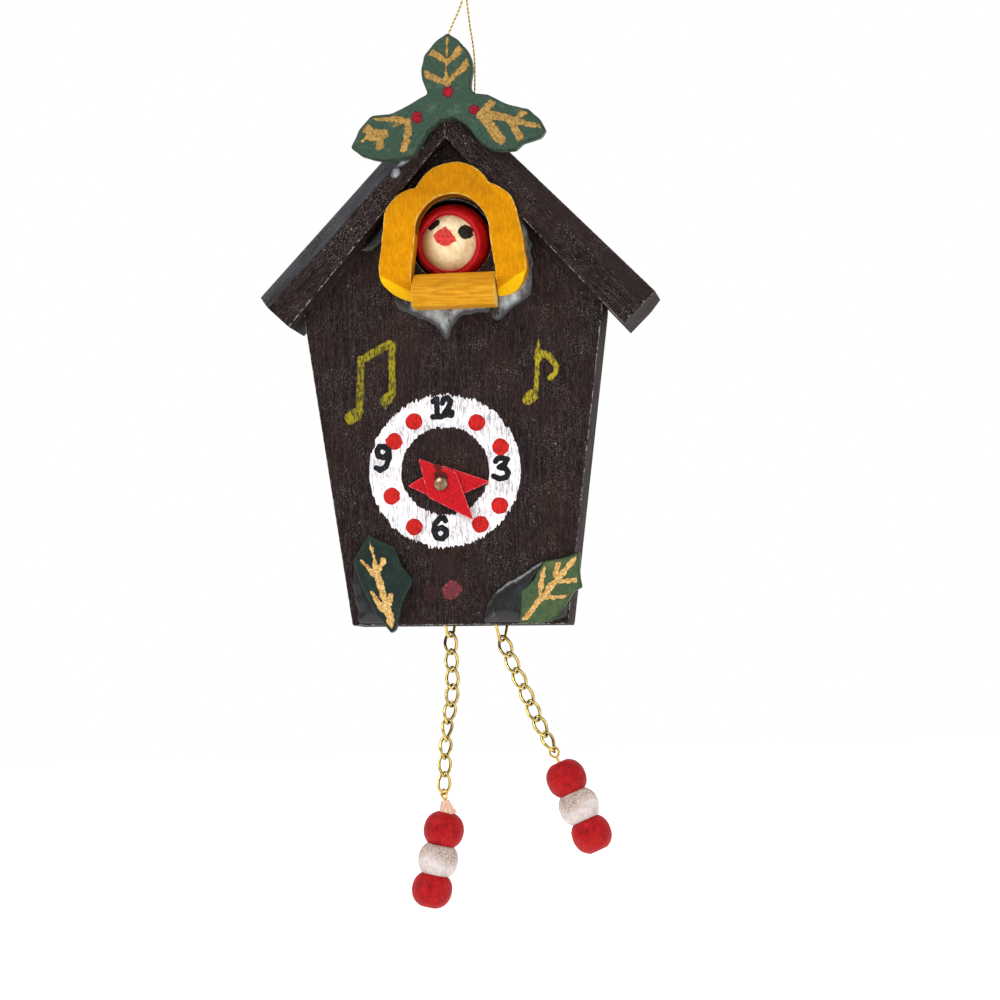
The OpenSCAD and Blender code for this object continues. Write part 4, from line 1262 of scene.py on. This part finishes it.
ENDS = {}
for side_name, (start, leans, spins) in CHAINS.items():
    joint = np.array(start, float)
    for n, (lean, spin) in enumerate(zip(leans, spins), 1):
        centre = joint + PITCH_L / 2 * down(lean)
        line = [centre + turned(p, lean, spin) for p in link_line()]
        # Curb links are pressed, so their wire is a little flat
        thick = lambda i, a: WIRE / 2 * (1.0 + 0.12 * math.cos(2 * math.pi * i / LINK_STEPS) ** 2
                                         + 0.05 * math.cos(4 * a))
        verts, faces = sweep(line, None, LINK_SIDES, closed=True, shape=thick)
        # Painted shade darkens the wire where it faces the link's own middle, and painted dark reflections run
        # along its flanks
        inner = []
        for i, v in enumerate(verts):
            p = line[i // LINK_SIDES]
            out, to_middle = np.array(v) - p, centre - p
            out = out / np.linalg.norm(out)
            facing = float(np.dot(out, to_middle / np.linalg.norm(to_middle)))
            inner.append(max(0.0, facing, 1.25 * (1 - abs(float(out[1]))) - 0.25))
        finish_mesh(f"link_{side_name}_{n}_visual", verts, faces, MAT_CHAIN, body=f"link_{side_name}_{n}",
                    replaces=[f"link_{side_name}_{n}"], slot="gold_wire", values={"inner": inner}, sharp=60)
        joint = joint + PITCH_L * down(lean)
    ENDS[side_name] = joint
    bend_r, splay, slack = 0.6, math.radians(14), 0.4
    hoop = [(bend_r * math.cos(t), 0, bend_r * math.sin(t))
            for t in np.linspace(math.pi + splay, 2 * math.pi - splay, 20)]
    leg = 5 * np.array((math.sin(splay), 0, math.cos(splay)))
    first, last = np.array(hoop[0]), np.array(hoop[-1])
    hoop = [first + leg * (-1, 1, 1)] + hoop + [last + leg]
    hoop = [np.array(start) + (0, 0, bend_r - slack) + turned(p, 0, 45) for p in hoop]
    verts, faces = sweep(hoop, 0.22, 14)
    finish_mesh(f"staple_{side_name}_visual", verts, faces, MAT_CHAIN, replaces=[f"staple_{side_name}"],
                slot="gold_wire", sharp=60)

# ---- Beads ----------------------------------------------------------------

BEAD_R, BEAD_H, BEAD_PITCH, BEAD_ROUND = 3.05, 2.9, 4.55, 2.2
PIN_R, EYE_R = 0.2, 0.7
HOOK = LINK_A - PITCH_L / 2
SEAT_R = 1.3
seat_angle = math.asin((SEAT_R / BEAD_R) ** (BEAD_ROUND / 2))
SEAT_H = BEAD_H * math.cos(seat_angle) ** (2 / BEAD_ROUND)


def bead_profile(low, high):
    """A turned bead's outline, rounder than a drum and squarer than a ball, cut off at low and high."""
    out = []
    for a in np.linspace(seat_angle, math.pi - seat_angle, 44):
        r = BEAD_R * math.sin(a) ** (2 / BEAD_ROUND)
        h = BEAD_H * math.copysign(abs(math.cos(a)) ** (2 / BEAD_ROUND), math.cos(a))
        if low < h < high:
            out.append((r, h))
    out.sort(key=lambda p: p[1])
    if low > -BEAD_H:
        out.insert(0, (out[0][0] - 0.08, low + 0.01))
    if high < BEAD_H:
        out.append((out[-1][0] - 0.08, high - 0.01))
    rim = [(out[0][0] * 0.5, out[0][1])] if low > -BEAD_H else [(0.35, out[0][1] + 0.12), (0.7, out[0][1] + 0.02)]
    top = [(out[-1][0] * 0.5, out[-1][1])] if high < BEAD_H else [(0.7, out[-1][1] - 0.02),
                                                                  (0.35, out[-1][1] - 0.12)]
    return rim + out + top


def make_bead(node, body, centre, lean, low, high, material, slot, seed):
    verts, faces = lathe(bead_profile(low, high), 72)
    out, shade = [], []
    for x, y, h in verts:
        a = math.atan2(y, x)
        r = math.hypot(x, y)
        lump = 0.16 * jitter(4 * math.cos(a) + 9, 4 * math.sin(a) + h * 1.4, 2.2, seed)
        scratch = 0.07 * (float(noise(a * 9, h * 2, 0.8, seed + 1)) - 0.6)
        s = 1 + min(0.0, lump + min(scratch, 0)) / max(r, 1) if r > 1.4 else 1
        p = turned((x * s, y * s, h), lean, seed * 40)
        out.append(tuple(np.array(centre) + p))
        shade.append(min(max((h + 0.5 + 0.5 * math.sin(3 * a + seed)) / 1.4, 0), 1))
    finish_mesh(f"{node}_visual", out, faces, material, body=body, replaces=[node], slot=slot,
                values={"shade": shade}, sharp=50)


def neck(side_name):
    """Where a string's pin enters its top bead, and how far the pin leans above it."""
    top, lean = STRINGS[side_name]
    seat = top - SEAT_H * down(lean)
    run = seat - ENDS[side_name]
    return seat, math.degrees(math.atan2(run[0], -run[2]))


STRINGS = {"left": (np.array((-4.2, 5, -30.35)), -13), "right": (ENDS["right"] + 4.7 * down(23), 23)}
for k, (side_name, (top, lean)) in enumerate(STRINGS.items()):
    half = BEAD_PITCH / 2
    body = f"pendant_{side_name}"
    for n, (word, low, high) in enumerate([("top", -half, 9), ("middle", -half, half), ("bottom", -9, half)]):
        color = "white" if word == "middle" else "red"
        make_bead(f"bead_{side_name}_{word}", body, top + n * BEAD_PITCH * down(lean), lean, low, high,
                  MAT_BEAD[color, side_name], f"bead_{color}", 3 * k + n + 1)
    end = ENDS[side_name]
    seat, neck_lean = neck(side_name)
    last_spin = CHAINS[side_name][2][-1] + 45 + 90
    eye_at = end + (EYE_R - HOOK) * down(neck_lean)
    ring = [eye_at + turned((EYE_R * math.cos(t), 0, EYE_R * math.sin(t)), neck_lean, last_spin)
            for t in np.linspace(0, 2 * math.pi, 40, endpoint=False)]
    shank_top, foot = end + (2 * EYE_R - HOOK) * down(neck_lean), top + (2 * BEAD_PITCH - 1.1) * down(lean)
    verts, faces = joined(sweep(ring, PIN_R, 14, closed=True), sweep([seat, foot], PIN_R, 14),
                          sweep([shank_top, seat, seat + 0.3 * down(lean)], PIN_R, 14))
    finish_mesh(f"eye_pin_{side_name}_visual", verts, faces, MAT_PIN, body=body,
                replaces=[f"eye_pin_{side_name}"],
                slot="gold_wire", sharp=60)


def make_peg():
    """A whittled wooden plug round the left pin."""
    profile = [(1.4, -0.35), (1.34, 0), (1.12, 0.4), (0.95, 0.9), (0.8, 1.4), (0.66, 1.8), (0.56, 1.9),
               (0.24, 1.88)]
    flats = lambda a, h: 0.06 * math.cos(5 * a + 1.5 * h) - 0.03
    verts, faces = lathe(profile, 48, flats)
    seat, lean = neck("left")
    out = [tuple(seat + turned(p, lean, 0)) for p in verts]
    finish_mesh("bead_peg_left_visual", out, faces, peg_wood(), body="pendant_left", replaces=["bead_peg_left"],
                slot="peg_wood", sharp=40)


make_peg()

# ---- Glue -----------------------------------------------------------------


def smear(name, seed, outline, y=0.0, material=MAT_GLUE, height=0.35, soft=1.1, ragged=0.5, cell=0.2, keep=None):
    """A smear of dried glue with a ragged, domed edge."""
    soft_line = rounded(outline, 2, 0.2)

    def field(x, z):
        f = polygon(x, z, soft_line) + ragged * (noise(x, z, 1.4, seed) - 0.5)
        f = f + 0.12 * (noise(x, z, 0.4, seed + 1) - 0.5)
        return np.maximum(f, keep(x, z)) if keep else f

    paint(name, around(outline, 1), cell, field, material, height, soft, y=y, slot="clear_glue")


# Smears stop at the edge of the wood that they lie on
block_edge = lambda x, z: body_field(x, z) + 0.3
smear("glue_window_right", 161, [(9, 63.6), (10.6, 62.8), (11.9, 60.4), (12.5, 56.8), (12.7, 52.4), (12.3, 49.8),
                            (10.2, 48.2), (8.2, 46.4), (6.4, 45.8), (5.6, 47.4), (6.5, 50.5), (10, 51),
                            (10.8, 55)],
      height=0.45)
smear("glue_window_bottom", 163, [(-8.9, 50.3), (-8.2, 48.2), (-6.4, 47.2), (-3.6, 46.2), (-1.8, 44.6),
                                  (-0.9, 43.2),
                             (0.0, 44.9), (1.3, 47.0), (5.8, 47.2), (6.2, 49.5), (-5, 50.5)],
      height=0.25)
smear("glue_window_left", 165, [(-14.6, 57.2), (-12.0, 59.6), (-10.9, 61.4), (-9.6, 61.5), (-9.8, 58.8),
                                (-11.6, 57.4)],
      material=MAT_GLUE_DARK, height=0.25, keep=block_edge)
smear("glue_roof_chip", 167, [(-8.0, 69.3), (-7.1, 69.2), (-6.8, 68.2), (-7.5, 67.4), (-8.4, 67.8)], y=-OVERHANG,
      material=MAT_GLUE_WHITE, height=0.18, soft=0.5, ragged=0.5, cell=0.12)
smear("glue_sprig", 169, [(-11.2, 70.6), (-9, 70.2), (-6, 70.4), (-4.6, 71.2), (-5.4, 69.6), (-8, 68.9),
                          (-10.8, 69.2)],
      y=-OVERHANG, height=0.4, soft=0.8, ragged=0.6,
      keep=lambda x, z: np.maximum(roof_field(LEFT_BOARD)(-x, z) + 0.2,
                                    z - RIDGE_Z - x * math.tan(PITCH) + BEVEL / math.cos(PITCH)))
smear("glue_leaf_left", 171, [(-16.3, 9.6), (-15.6, 10.4), (-14.4, 8.8), (-13, 4.6), (-10.4, 1.6), (-9.4, 0.7),
                              (-11, 0.5),
                         (-15.3, 0.5), (-16.1, 4)], material=MAT_GLUE_DARK, height=0.6, soft=1.6,
      keep=block_edge)
smear("glue_leaf_right", 173, [(12.9, 9.9), (11.2, 9.0), (9.4, 7.8), (7.0, 6.4), (5.0, 5.0), (3.6, 2.6),
                               (3.2, 0.6),
                          (6.0, 0.4), (9.4, 0.4), (10.4, 4.5), (13, 8.2)], material=MAT_GLUE_DARK,
      height=0.55, soft=1.7, keep=block_edge)
smear("glue_leaf_right_pale", 175, [(4.6, 4.0), (5.8, 4.4), (6.2, 2.6), (5.6, 0.8), (4.0, 0.6), (3.8, 2.2)],
      y=-0.25,
      height=0.3, soft=1.1, keep=block_edge)
smear("glue_corner_right", 177, [(14.2, 3.4), (16.4, 4.9), (16.6, 3.4), (15.9, 0.6), (12.6, 0.5)], 
      material=MAT_GLUE_DARK, height=0.4, keep=block_edge)


def make_dabs():
    """The two dabs of glue that hold the thread's ends on the roof."""
    parts = []
    for x, y, z in (THREAD_ROUTE[0], THREAD_ROUTE[-1]):
        ground = RIDGE_Z - abs(x) * math.tan(PITCH)
        top = z - ground
        profile = [(1.0, -0.9), (1.0, -0.3 + 0.1 * top), (0.85, 0.45 * top), (0.5, 0.85 * top),
                   (0.22, top + 0.02)]
        verts, faces = lathe(profile, 36, lambda a, h: 0.08 * math.sin(2 * a + h) - 0.08)
        verts = [(x + 0.9 * u, y + 0.9 * v, ground + h - (0.9 if h < -0.5 else 0)) for u, v, h in verts]
        parts.append((verts, faces))
    verts, faces = joined(*parts)
    finish_mesh("thread_glue_visual", verts, faces, glue("thread_glue_dab", "#5d605c", "#c5c9c4", 0.12),
                replaces=["thread_glue"], slot="clear_glue",
                values={"depth": [0.6] * len(verts)}, sharp=80)


make_dabs()

# ---- Stage ----------------------------------------------------------------

WHITE = (1, 1, 1, 1)
FLOOR_HALF, FLOOR_Z = 30.0, -0.45
pale = Look("pale_floor", Emission_Strength=0.45, Emission_Color=WHITE, Base_Color=WHITE, Roughness=0.95)
floor_mesh = bpy.data.meshes.new("floor")
corners = [(FLOOR_HALF * a, FLOOR_HALF * b, FLOOR_Z) for a, b in ((-1, -1), (1, -1), (1, 1), (-1, 1))]
floor_mesh.from_pydata(corners, [], [(0, 1, 2, 3)])
floor_mesh.materials.append(pale.material)
floor = bpy.data.objects.new("floor", floor_mesh)
bpy.context.collection.objects.link(floor)

# The studio is white all round, and dimmer on the side that the camera stands on
world = bpy.data.worlds.new("studio")
bpy.context.scene.world = world
world.use_nodes = True
nodes, links = world.node_tree.nodes, world.node_tree.links
nodes.clear()
direction = nodes.new("ShaderNodeTexCoord")
axes = nodes.new("ShaderNodeSeparateXYZ")
links.new(direction.outputs["Generated"], axes.inputs[0])
dim = nodes.new("ShaderNodeMapRange")
links.new(axes.outputs["Y"], dim.inputs["Value"])
for key, value in (("From Min", -0.85), ("From Max", -0.15), ("To Min", 0.45), ("To Max", 1.0)):
    dim.inputs[key].default_value = value
sky = nodes.new("ShaderNodeBackground")
sky.inputs["Color"].default_value = WHITE
links.new(dim.outputs[0], sky.inputs["Strength"])
links.new(sky.outputs[0], nodes.new("ShaderNodeOutputWorld").inputs[0])


def softbox(name, place, size, power):
    light = bpy.data.lights.new(name, "AREA")
    light.shape = "SQUARE"
    light.size = size
    light.energy = power
    obj = bpy.data.objects.new(name, light)
    obj.location = place
    aim = Vector((0, 0, -0.06)) - Vector(place)
    obj.rotation_euler = aim.to_track_quat("-Z", "Y").to_euler()
    bpy.context.collection.objects.link(obj)


softbox("key", (-0.35, -0.6, 0.45), 0.35, 3.2)
softbox("fill", (0.6, -0.6, 0.05), 0.6, 1.2)

scene = bpy.context.scene
scene.view_settings.view_transform = "Standard"
scene.view_settings.look = "None"
scene.view_settings.exposure = 0.0
